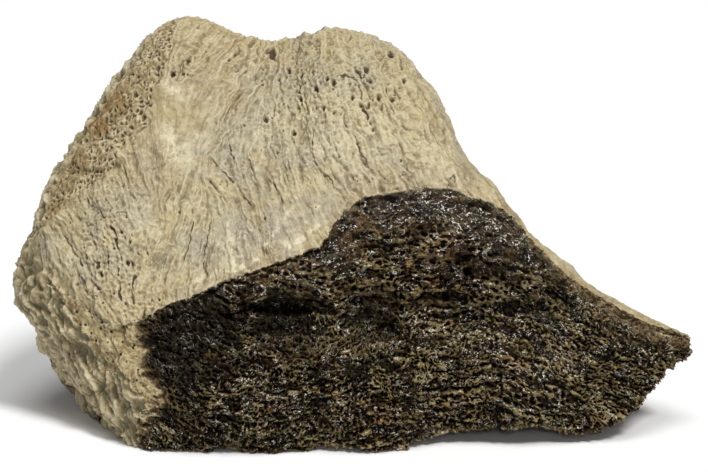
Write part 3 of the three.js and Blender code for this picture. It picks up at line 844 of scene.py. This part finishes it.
    def torn_sponge(self, p, laid, dense, strip):
        """The walls of the front break's spongy bone, and their torn relief."""
        x, z = p[:, 0], p[:, 2]
        round_share = spots(OPEN_SPOTS, x, z, 0.3 * ripple(p / 3, 21))
        round_share = np.maximum(round_share, 0.75 * smooth(z + 3 * ripple(p / 6, 23), 25, 33))
        net, round_net = self.sponge(laid, self.form.pore_size / MM, 200)
        wall = net + (round_net - net) * round_share
        where = smooth(octaves(laid / (6, 5, 3.2), 72), -0.6, 0.4)
        depth = (1 - wall) * (0.45 + 0.55 * where)
        torn = octaves(laid / (4.8, 2.4, 1.35), 71)
        push = -self.form.pore_depth / MM * depth * (1 - 0.65 * dense) + 0.8 * torn * (1 - 0.4 * dense)
        push += 0.17 * octaves(laid / (0.9, 0.7, 0.5), 70, 2)
        push += 0.8 * smooth(z, 24, 32) * octaves(p / (5.5, 4, 4), 82, 2) * (1 - strip)
        push += 0.45 * dense * octaves(p / (2.4, 1.8, 1.6), 84, 2) * (1 - strip)
        return wall, push

    def splinters(self, laid, x, z):
        """Flat pale plates that stick out here and there, thickest on the wing."""
        first, second, label = cells(laid / (3.8, 2.2, 1.15), 79)
        chance = 0.9 - 0.14 * smooth(x, 18, 44) - 0.12 * smooth(z, 24, 10)
        return smooth(label, chance, chance + 0.03) * smooth(second - first, 0.05, 0.3)

    def overhangs(self, p, laid):
        """Relief of the layers low down, which overhang one another."""
        level = (laid[:, 2] + 1.1 * octaves(p / (9, 6, 4), 73)) / 2.3
        layer = level - np.floor(level)
        return 0.8 * (layer * smooth(layer, 1.0, 0.85) - 0.4)

    def beside_plate(self, p):
        """Pits and whole relief of the break beside the end plate, where it is pale and knobby."""
        first, _, label = cells(p / (1.2, 1.2, 1.3), 74)
        pit = smooth(first, 0.36, 0.14) * smooth(label, 0.45, 0.55)
        return pit, 0.3 * octaves(p / (3, 2.4, 1.8), 75) - 0.55 * pit + 0.5 * self.knobs(p)[0]

    def torn_out(self, p):
        """Depth of the hollows torn out of the front break, and 1 in its clefts."""
        x, z = p[:, 0], p[:, 2]
        deepest = np.zeros(len(x))
        blur = 0.42 * octaves(p / (2.4, 1.6, 1.1), 77)
        for hx, hz, half_width, half_height, deep in HOLLOWS:
            reach = np.hypot((x - hx) / half_width, (z - hz) / half_height)
            deepest = np.maximum(deepest, smooth(reach + blur, 1.15, 0.45) * deep)
        return deepest, smooth(near_lines(CLEFTS, x, z) + 0.5 * octaves(p / 1.6, 81), 0.8, 0.1)

    def back_relief(self, index):
        """Spongy bone behind and below, worn flatter than the front."""
        p = self.points[index]
        net, round_net = self.sponge(p, self.form.pore_size / MM * 1.3, 300)
        share = smooth(ripple(p / 9, 301), -0.3, 0.3)
        wall = net + (round_net - net) * share
        self.keep("wall", index, wall)
        return -0.85 * (1 - wall) + 0.7 * octaves(p / (5, 4, 2.4), 145)

    def piece(self, name, chosen):
        """A mesh object of the triangles whose first point lies in a region."""
        triangles = self.triangles[chosen[self.triangles[:, 0]]]
        used, local = np.unique(triangles, return_inverse=True)
        mesh = bpy.data.meshes.new(name)
        mesh.vertices.add(len(used))
        mesh.vertices.foreach_set("co", (self.points[used] * MM).ravel())
        mesh.loops.add(len(triangles) * 3)
        mesh.loops.foreach_set("vertex_index", local.ravel().astype(np.int32))
        mesh.polygons.add(len(triangles))
        mesh.polygons.foreach_set("loop_start", np.arange(0, len(triangles) * 3, 3, dtype=np.int32))
        mesh.update(calc_edges=True)
        mesh.validate()
        mesh.shade_smooth()
        for label, values in self.values.items():
            if np.abs(values[used]).max() > 0:
                attribute = mesh.attributes.new(label, "FLOAT", "POINT")
                attribute.data.foreach_set("value", values[used].astype(np.float32))
        made = bpy.data.objects.new(name, mesh)
        bpy.context.scene.collection.objects.link(made)
        return made


built = {}


def surface():
    """The fine surface, built by whichever operator asks for it first."""
    if "surface" not in built:
        built["surface"] = Surface(bpy.context.scene.fossil_form)
    return built["surface"]


# ---- Materials ----

# What the two tone groups read from the mesh.
DENSE_VALUES = ("Fibre", "Hollow", "Edge", "Pale", "Tan", "Olive", "Cool", "Hole")
SPONGY_VALUES = ("Wall", "Hollow", "Edge", "Amber", "Shade_and_dark", "Shiny", "Bend", "Splinter")
# The grain of the spongy bone lies in flat layers, so its noise is read at places stretched like this.
LAYER_SQUASH = (0.65, 1.0, 1.35)
# Where the nodes stand in the editor: how far apart, and how many in a row.
NODE_WIDTH, NODE_HEIGHT = 220, 260
NODES_A_ROW = 12
# Height of the fine grit's bump and of the coat's facets, in metres.
GRIT_HEIGHT = 0.0004
FACET_HEIGHT = 0.0013
# The wet-looking coat of the break.
GLAZE_ROUGHNESS = 0.18
GLAZE_IOR = 1.5


class Wiring:
    """Adds nodes to a node tree. An input is a plain value or another node's output."""

    def __init__(self, tree):
        self.tree = tree
        self.count = 0

    def link(self, source, target):
        self.tree.links.new(source, target)

    def add(self, kind, inputs=None, **settings):
        made = self.tree.nodes.new(kind)
        row, column = divmod(self.count, NODES_A_ROW)
        made.location = (NODE_WIDTH * column, -NODE_HEIGHT * row)
        self.count += 1
        for key, value in settings.items():
            setattr(made, key, value)
        for key, value in (inputs or {}).items():
            if isinstance(value, bpy.types.NodeSocket):
                self.link(value, made.inputs[key])
            else:
                made.inputs[key].default_value = value
        return made

    def math(self, operation, a, b=0.0, clamp=False):
        return self.add("ShaderNodeMath", {0: a, 1: b}, operation=operation, use_clamp=clamp).outputs[0]

    def times(self, a, b):
        return self.math("MULTIPLY", a, b)

    def centred(self, value):
        return self.math("SUBTRACT", value, 0.5)

    def vector(self, operation, a, b):
        return self.add("ShaderNodeVectorMath", {0: a, 1: b}, operation=operation).outputs[0]

    def mix(self, share, a, b):
        """b over a, each a colour or another node's output."""
        a, b = (c if isinstance(c, bpy.types.NodeSocket) else (*c, 1.0) for c in (a, b))
        return self.add("ShaderNodeMix", {0: share, 6: a, 7: b}, data_type="RGBA").outputs[2]

    def layers(self, colour, steps):
        """Lays colours over one another: steps are (share, colour), the lowest first."""
        for share, over in steps:
            colour = self.mix(share, colour, over)
        return colour

    def band(self, value, low, high, start=0.0, end=1.0):
        """A soft step from start to end as value goes from low to high."""
        values = {"Value": value, "From Min": low, "From Max": high, "To Min": start, "To Max": end}
        return self.add("ShaderNodeMapRange", values, interpolation_type="SMOOTHSTEP").outputs[0]

    def noise(self, vector, scale, detail, rough):
        values = {"Vector": vector, "Scale": scale, "Detail": detail, "Roughness": rough}
        return self.add("ShaderNodeTexNoise", values).outputs["Fac"]

    def patches(self, grain, low, high, start=0.0, end=1.0):
        """Soft-edged patches of a noise, given as (vector, scale, detail, rough)."""
        return self.band(self.noise(*grain), low, high, start, end)

    def value(self, name):
        return self.add("ShaderNodeAttribute", attribute_name=name).outputs["Fac"]

    def place(self):
        return self.add("ShaderNodeNewGeometry").outputs["Position"]


def cached_group(name, inputs, outputs, wire):
    """The named node group, wired by wire(wires, start, end) the first time that it is asked for."""
    if name not in bpy.data.node_groups:
        group = bpy.data.node_groups.new(name, "ShaderNodeTree")
        for kind, sockets in (("INPUT", inputs), ("OUTPUT", outputs)):
            for label, shape in sockets:
                group.interface.new_socket(label, in_out=kind, socket_type=f"NodeSocket{shape}")
        wires = Wiring(group)
        wire(wires, wires.add("NodeGroupInput").outputs, wires.add("NodeGroupOutput").inputs)
    return bpy.data.node_groups[name]


def floats(*names):
    return [(name, "Float") for name in names]


def grit_group():
    """Fine grit for the height of every bone surface."""

    def wire(wires, start, end):
        place = wires.place()
        coarse = wires.times(wires.noise(place, start["Coarse"], 4, 0.6), 0.7)
        fine = wires.times(wires.noise(place, start["Fine"], 3, 0.65), 0.3)
        height = wires.math("ADD", coarse, fine)
        bump = {"Strength": start["Strength"], "Distance": GRIT_HEIGHT, "Height": height}
        wires.link(wires.add("ShaderNodeBump", bump).outputs[0], end["Normal"])

    return cached_group("bone_grit", floats("Coarse", "Fine", "Strength"), [("Normal", "Vector")], wire)


def dense_tone_group(colours):
    """Colour of dense bone: bone, grey and tan in drifts, darker in the furrows, painted shade in the hollows
    and pale raised edges.
    """

    def wire(wires, start, end):
        place = wires.place()
        warm = wires.patches((place, 95, 4, 0.65), 0.5, 0.72, 0, 0.45)
        wisp = wires.patches((place, 380, 5, 0.75), 0.4, 0.56, 0.15, 1.1)
        light = wires.patches((place, 170, 4, 0.7), 0.52, 0.72, 0, 0.5)
        mottle = wires.noise(place, 750, 4, 0.7)
        ground = wires.mix(wires.patches((place, 60, 4, 0.6), 0.42, 0.6), colours.bone, colours.grey)
        steps = [
            (wires.math("ADD", warm, wires.times(start["Tan"], 0.7), True), colours.tan),
            (wires.patches((place, 230, 4, 0.7), 0.5, 0.66, 0, 0.55), colours.blush),
            (wires.times(start["Cool"], 0.75), colours.cool),
            (wires.math("ADD", light, wires.times(start["Pale"], wisp), True), colours.pale),
            (wires.times(start["Olive"], 0.8), colours.green_stain_and_shade),
            (wires.band(mottle, 0.5, 0.36, 0, 0.4), colours.dirt_and_shade),
            (wires.band(mottle, 0.54, 0.7, 0, 0.45), colours.pale),
            (wires.band(start["Fibre"], -0.2, -1.6, 0, 0.5), colours.dirt_and_shade),
            (wires.band(start["Fibre"], 0.4, 1.8, 0, 0.4), colours.pale),
            # Painted shade in the hollows.
            (wires.band(start["Hollow"], -0.03, -0.3, 0, 0.75), colours.dirt_and_shade),
            (wires.band(start["Edge"], 0.01, 0.07, 0, 0.4), colours.pale),
            (wires.patches((place, 2600, 2, 0.6), 0.6, 0.72, 0, 0.45), colours.dirt_and_shade),
            (wires.band(start["Hole"], 0.2, 0.8), colours.crack),
        ]
        wires.link(wires.layers(ground, steps), end["Colour"])

    return cached_group("dense_tone", floats(*DENSE_VALUES), [("Colour", "Color")], wire)


def spongy_tone_group(colours):
    """Colour of broken spongy bone: dark, with brown, olive and amber walls, painted shade in its pores and
    hollows, and painted glints.
    """

    def wire(wires, start, end):
        place = wires.place()
        lift = wires.add("ShaderNodeCombineXYZ", {2: start["Bend"]}).outputs[0]
        flat = wires.vector("MULTIPLY", wires.vector("ADD", place, lift), LAYER_SQUASH)
        # The walls: brown and olive, with amber blotches, worn edges and splinters.
        tint = wires.noise(flat, 420, 4, 0.7)
        ground = wires.mix(wires.band(tint, 0.42, 0.6), colours.strut, colours.olive)
        blotch = wires.patches((place, 260, 4, 0.7), 0.53, 0.66, 0, 0.7)
        blotch = wires.math("ADD", blotch, start["Amber"], True)
        worn = wires.band(start["Edge"], 0.0, 0.08)
        worn = wires.times(worn, wires.patches((flat, 900, 3, 0.7), 0.45, 0.62))
        chip = wires.mix(wires.band(tint, 0.44, 0.58), colours.chip, colours.pale_chip)
        steps = [
            (wires.times(blotch, 0.8), colours.amber),
            (wires.times(worn, 0.6), colours.wall_edge),
            (wires.times(start["Splinter"], 0.75), chip),
        ]
        wall = wires.layers(ground, steps)
        # Painted shade in the pores, the hollows and the shadowed places of the front, and small dark scraps
        # in clumps.
        clump = wires.times(wires.centred(wires.noise(flat, 210, 3, 0.65)), 0.75)
        level = wires.math("ADD", wires.noise(flat, 1150, 4, 0.75), clump)
        level = wires.math("ADD", level, wires.times(start["Splinter"], 0.12))
        sunk = wires.band(start["Hollow"], 0.1, -0.15)
        shade = wires.math("MAXIMUM", wires.band(start["Wall"], 0.8, 0.3), sunk)
        shade = wires.math("MAXIMUM", shade, wires.band(level, 0.57, 0.45, 0, 0.97))
        lit = wires.band(start["Shade_and_dark"], 1.0, 0.3, 0.3, 1.0)
        wires.link(wires.times(wires.band(shade, 0.75, 0.3), lit), end["Glaze"])
        shade = wires.math("MAXIMUM", shade, wires.times(start["Shade_and_dark"], 0.93))
        wires.link(wires.mix(shade, wall, colours.pore), end["Colour"])
        # Painted highlights: glints as short broken streaks in swarms, thickest where the bone is polished.
        streak = wires.math("ABSOLUTE", wires.centred(wires.noise(flat, 950, 2, 0.5)))
        swarm = wires.math("ADD", wires.noise(place, 360, 3, 0.6), wires.times(start["Shiny"], 0.07))
        painted_glint = wires.band(streak, 0.05, 0.015)
        for share in (
            wires.patches((place, 1800, 2, 0.6), 0.48, 0.58),
            wires.band(swarm, 0.46, 0.6),
            wires.band(start["Hollow"], -0.2, -0.02),
            wires.band(start["Shade_and_dark"], 1.0, 0.3, 0.4, 1.0),
        ):
            painted_glint = wires.times(painted_glint, share)
        wires.link(painted_glint, end["Glint"])

    outputs = [("Colour", "Color"), ("Glaze", "Float"), ("Glint", "Float")]
    return cached_group("spongy_tone", floats(*SPONGY_VALUES), outputs, wire)


def new_material(name):
    material = bpy.data.materials.new(name)
    material.use_nodes = True
    material.node_tree.nodes.clear()
    return material, Wiring(material.node_tree)


def finish_material(wires, colour, roughness, specular, normal=None, glaze=None, glaze_normal=None):
    """Wires up the shader; glaze is how much of a wet-looking coat lies on each place."""
    values = {"Base Color": colour, "Roughness": roughness, "Specular IOR Level": specular}
    if glaze is not None:
        values.update({"Coat Weight": glaze, "Coat Normal": glaze_normal})
        values.update({"Coat Roughness": GLAZE_ROUGHNESS, "Coat IOR": GLAZE_IOR})
    if normal is not None:
        values["Normal"] = normal
    shader = wires.add("ShaderNodeBsdfPrincipled", values)
    out = wires.add("ShaderNodeOutputMaterial")
    wires.link(shader.outputs[0], out.inputs["Surface"])


def toned(wires, group, names):
    """A tone group's outputs, with its inputs read from the mesh."""
    values = {name: wires.value(name.lower()) for name in names}
    return wires.add("ShaderNodeGroup", values, node_tree=group).outputs


def grit(wires, coarse, fine, strength):
    values = {"Coarse": coarse, "Fine": fine, "Strength": strength}
    return wires.add("ShaderNodeGroup", values, node_tree=grit_group()).outputs["Normal"]


def outer_bone_material(colours, name):
    """Dense bone, with the worn rim's rust and painted shade in its hollows, and the end plate's browner
    valleys, with painted shade under its knobs and in its valleys and a painted highlight on their tops.
    """
    material, wires = new_material(name)
    place = wires.place()
    rust = wires.times(wires.value("rust"), wires.patches((place, 420, 3, 0.6), 0.3, 0.55))
    ground = wires.mix(wires.patches((place, 300, 4, 0.65), 0.38, 0.55), colours.bone, colours.tan)
    steps = [
        (wires.band(wires.value("edge"), 0.0, 0.08, 0, 0.6), colours.pale),
        (rust, colours.rust),
        (wires.patches((place, 900, 4, 0.7), 0.5, 0.4, 0, 0.55), colours.rim_pit),
        # Painted shade in the hollows of the worn rim.
        (wires.band(wires.value("hollow"), 0.02, -0.25, 0, 0.9), colours.crack),
    ]
    worn = wires.layers(ground, steps)
    knobby = wires.value("knobby")
    # Painted shade on the undersides of the end plate's knobs.
    underside_shade = wires.times(wires.value("under"), wires.band(knobby, 0, 1, 0.35, 0.9))
    speckle = wires.times(knobby, wires.patches((place, 1500, 4, 0.75), 0.5, 0.4, 0, 0.7))
    brown = wires.times(knobby, wires.patches((place, 240, 4, 0.65), 0.4, 0.62, 0.05, 0.6))
    steps = [
        (wires.value("rim"), worn),
        (underside_shade, colours.dirt_and_shade),
        (speckle, colours.knob_pit),
        (brown, colours.tan),
        # Painted shade in the end plate's valleys.
        (wires.times(wires.value("valley_shade"), 0.85), colours.green_stain_and_shade),
        # Painted highlight on the tops of the knobs.
        (wires.times(wires.value("painted_highlight"), 0.45), colours.pale),
    ]
    colour = wires.layers(toned(wires, dense_tone_group(colours), DENSE_VALUES)["Colour"], steps)
    rough = wires.patches((place, 400, 3, 0.6), 0.35, 0.65, 0.55, 0.75)
    finish_material(wires, colour, rough, 0.4, grit(wires, 1400.0, 4200.0, 0.5))
    return material


def spongy_material(colours):
    """The dark glossy break: dense under the lip, with a brown strip on the wing, pale beside the plate."""
    material, wires = new_material("spongy_bone")
    tone = toned(wires, spongy_tone_group(colours), SPONGY_VALUES)
    place = wires.place()
    pale, strip_share = wires.value("pale"), wires.value("strip")
    close = wires.mix(wires.patches((place, 1400, 4, 0.8), 0.47, 0.56), colours.soot, colours.umber)
    steps = [
        (wires.times(wires.value("amber"), 0.5), colours.amber),
        (wires.patches((place, 300, 4, 0.7), 0.56, 0.47, 0, 0.95), colours.pore),
    ]
    close = wires.layers(close, steps)
    fringe = wires.mix(wires.patches((place, 800, 4, 0.7), 0.4, 0.6), colours.fringe, colours.pale_fringe)
    strip = wires.mix(wires.patches((place, 900, 4, 0.75), 0.4, 0.58), colours.strip, colours.pale_strip)
    strip = wires.mix(wires.patches((place, 2600, 3, 0.7), 0.52, 0.42, 0, 0.6), strip, colours.strip_pit)
    ragged = wires.math("ADD", strip_share, wires.centred(wires.noise(place, 600, 4, 0.7)))
    ragged = wires.times(wires.band(ragged, 0.05, 0.6), wires.band(strip_share, 0, 0.08))
    stain = wires.mix(wires.patches((place, 520, 4, 0.7), 0.42, 0.6), colours.stain, colours.pale_stain)
    beside = wires.mix(wires.patches((place, 420, 4, 0.7), 0.42, 0.6), colours.bone, colours.beside)
    steps = [
        (wires.band(wires.value("edge"), 0.0, 0.08, 0, 0.5), colours.pale),
        (wires.band(pale, 0.9, 0.45), stain),
        # Painted shade in the hollows beside the end plate.
        (wires.band(wires.value("hollow"), 0.0, -0.3, 0, 0.85), colours.dirt_and_shade),
        (wires.band(wires.value("hole"), 0.2, 0.7), colours.crack),
    ]
    beside = wires.layers(beside, steps)
    steps = [
        (wires.times(wires.value("dense"), 0.8), close),
        (tone["Glint"], colours.painted_glint),
        (wires.times(wires.value("fringe"), 0.8), fringe),
        (ragged, strip),
        (wires.band(pale, 0.1, 0.5), beside),
    ]
    colour = wires.layers(tone["Colour"], steps)
    # The coat lies on the walls and the polished places, and leaves the pale and the brown bone bare.
    polished = wires.math("ADD", tone["Glaze"], wires.times(wires.value("shiny"), 0.3), True)
    glaze = wires.times(polished, wires.band(wires.math("MAXIMUM", pale, strip_share), 0.0, 0.5, 1.0, 0.0))
    facet = {"Strength": 1.0, "Distance": FACET_HEIGHT, "Height": wires.noise(place, 1250, 1, 0.45)}
    facet = wires.add("ShaderNodeBump", facet).outputs[0]
    rough = wires.patches((place, 800, 3, 0.7), 0.35, 0.65, 0.35, 0.6)
    finish_material(wires, colour, rough, 0.08, grit(wires, 1500.0, 3800.0, 1.0), glaze, facet)
    return material


def weathered_material(colours):
    """The back break: the same spongy bone, duller and dustier."""
    material, wires = new_material("weathered_spongy_bone")
    colour = toned(wires, spongy_tone_group(colours), ("Wall", "Hollow", "Edge"))["Colour"]
    place = wires.place()
    dust = wires.patches((place, 70, 4, 0.6), 0.4, 0.62, 0.2, 0.75)
    dust = wires.times(dust, wires.band(wires.value("hollow"), -0.2, 0.1))
    colour = wires.mix(dust, colour, colours.dust)
    rough = wires.patches((place, 600, 3, 0.6), 0.35, 0.65, 0.45, 0.7)
    finish_material(wires, colour, rough, 0.4, grit(wires, 1600.0, 4200.0, 0.8))
    return material


# ---- Operators ----


def dress(piece, material):
    """Gives a piece its material and its body."""
    piece.data.materials.append(material)
    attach(piece, "root")


class FOSSIL_OT_outer_bone(bpy.types.Operator):
    """Adds the dense outer bone, its face and what lies behind the crest"""

    bl_idname = "fossil.outer_bone"
    bl_label = "Outer bone"

    def execute(self, context):
        bone = surface()
        material = outer_bone_material(context.scene.fossil_colours, "outer_bone")
        face = bone.on_face & ~bone.behind
        left = bone.points[:, 0] < FACE_SEAM
        first = bone.piece("outer_bone_left", face & left)
        dress(first, material)
        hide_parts("vertebra")
        dress(bone.piece("outer_bone_right", face & ~left), material)
        dress(bone.piece("outer_bone_back", bone.on_face & bone.behind), material)
        return {"FINISHED"}


class FOSSIL_OT_front_break(bpy.types.Operator):
    """Adds the dark spongy break at the front"""

    bl_idname = "fossil.front_break"
    bl_label = "Front break"

    def execute(self, context):
        bone = surface()
        material = spongy_material(context.scene.fossil_colours)
        high = bone.points[:, 2] > FRONT_SEAM
        dress(bone.piece("front_break_upper", bone.on_front & high), material)
        dress(bone.piece("front_break_lower", bone.on_front & ~high), material)
        return {"FINISHED"}


class FOSSIL_OT_end_plate(bpy.types.Operator):
    """Adds the knobby end plate on the left"""

    bl_idname = "fossil.end_plate"
    bl_label = "End plate"

    def execute(self, context):
        bone = surface()
        material = outer_bone_material(context.scene.fossil_colours, "end_plate_bone")
        dress(bone.piece("end_plate", bone.on_plate), material)
        return {"FINISHED"}


class FOSSIL_OT_back_break(bpy.types.Operator):
    """Adds the weathered spongy bone behind and below"""

    bl_idname = "fossil.back_break"
    bl_label = "Back break"

    def execute(self, context):
        bone = surface()
        dress(bone.piece("back_break", bone.on_back), weathered_material(context.scene.fossil_colours))
        return {"FINISHED"}


# ---- Studio, in metres and degrees ----

FLOOR_HALF_WIDTH = 3.0
FLOOR_DROP = 0.0002
FLOOR_WHITE = 0.93
SKY_STRENGTH = 0.12
# Each light: the way to it, its width in degrees and its strength.
LIGHTS = {
    "key_light": ((0.34, -0.5, 0.8), 13, 2.25),
    "top_light": ((0.0, -0.3, 0.95), 28, 1.2),
    "front_light": ((0.0, -0.9, 0.35), 10, 0.5),
}
CAMERA_AIM = Vector((0.00077, -0.01353, 0.0433))
CAMERA_DISTANCE = 0.437
CAMERA_TILT = 12
LENS_MM = 100
SENSOR_MM = 36


def add_floor():
    mesh = bpy.data.meshes.new("floor")
    half = FLOOR_HALF_WIDTH
    corners = [(-half, -half, 0), (half, -half, 0), (half, half, 0), (-half, half, 0)]
    mesh.from_pydata(corners, [], [(0, 1, 2, 3)])
    material, wires = new_material("floor_paper")
    finish_material(wires, (FLOOR_WHITE, FLOOR_WHITE, FLOOR_WHITE, 1), 0.9, 0.1)
    mesh.materials.append(material)
    floor = bpy.data.objects.new("floor", mesh)
    floor.location.z = -FLOOR_DROP
    bpy.context.scene.collection.objects.link(floor)


def add_light(name, place, spread, strength):
    """A soft light from far off, so that the whole floor is lit alike; spread is its width in degrees."""
    data = bpy.data.lights.new(name, "SUN")
    data.angle = math.radians(spread)
    data.energy = strength
    lamp = bpy.data.objects.new(name, data)
    lamp.location = place
    lamp.rotation_euler = Vector(place).to_track_quat("Z", "Y").to_euler()
    bpy.context.scene.collection.objects.link(lamp)


def add_camera():
    lens = bpy.data.cameras.new("camera")
    lens.lens = LENS_MM
    lens.sensor_width = SENSOR_MM
    camera = bpy.data.objects.new("camera", lens)
    tilt = math.radians(CAMERA_TILT)
    away = Vector((0, -math.cos(tilt), math.sin(tilt)))
    camera.location = CAMERA_AIM + away * CAMERA_DISTANCE
    camera.rotation_euler = (-away).to_track_quat("-Z", "Y").to_euler()
    bpy.context.scene.collection.objects.link(camera)
    bpy.context.scene.camera = camera


class FOSSIL_OT_studio(bpy.types.Operator):
    """Adds the pale floor, the soft lights and the camera"""

    bl_idname = "fossil.studio"
    bl_label = "Studio"

    def execute(self, context):
        add_floor()
        for name, light in LIGHTS.items():
            add_light(name, *light)
        world = bpy.data.worlds.new("studio")
        world.use_nodes = True
        background = world.node_tree.nodes["Background"]
        background.inputs["Color"].default_value = (1, 1, 1, 1)
        background.inputs["Strength"].default_value = SKY_STRENGTH
        context.scene.world = world
        add_camera()
        context.scene.view_settings.view_transform = "Standard"
        return {"FINISHED"}


class FOSSIL_PT_panel(bpy.types.Panel):
    """Sidebar panel with the fossil's settings and pieces"""

    bl_label = "Fossil vertebra"
    bl_idname = "FOSSIL_PT_panel"
    bl_space_type = "VIEW_3D"
    bl_region_type = "UI"
    bl_category = "Fossil"

    def draw(self, context):
        for settings in (context.scene.fossil_form, context.scene.fossil_colours):
            box = self.layout.box()
            for name in settings.bl_rna.properties.keys():
                if name not in ("rna_type", "name"):
                    box.prop(settings, name)
        for operator in OPERATORS:
            self.layout.operator(operator.bl_idname)


OPERATORS = (
    FOSSIL_OT_outer_bone,
    FOSSIL_OT_front_break,
    FOSSIL_OT_end_plate,
    FOSSIL_OT_back_break,
    FOSSIL_OT_studio,
)
CLASSES = (FossilForm, FossilColours, *OPERATORS, FOSSIL_PT_panel)


def register():
    for cls in CLASSES:
        bpy.utils.register_class(cls)
    bpy.types.Scene.fossil_form = bpy.props.PointerProperty(type=FossilForm)
    bpy.types.Scene.fossil_colours = bpy.props.PointerProperty(type=FossilColours)


def unregister():
    del bpy.types.Scene.fossil_form
    del bpy.types.Scene.fossil_colours
    for cls in reversed(CLASSES):
        bpy.utils.unregister_class(cls)


def main():
    register()
    bpy.ops.fossil.outer_bone()
    bpy.ops.fossil.front_break()
    bpy.ops.fossil.end_plate()
    bpy.ops.fossil.back_break()
    bpy.ops.fossil.studio()


if __name__ == "__main__":
    main()
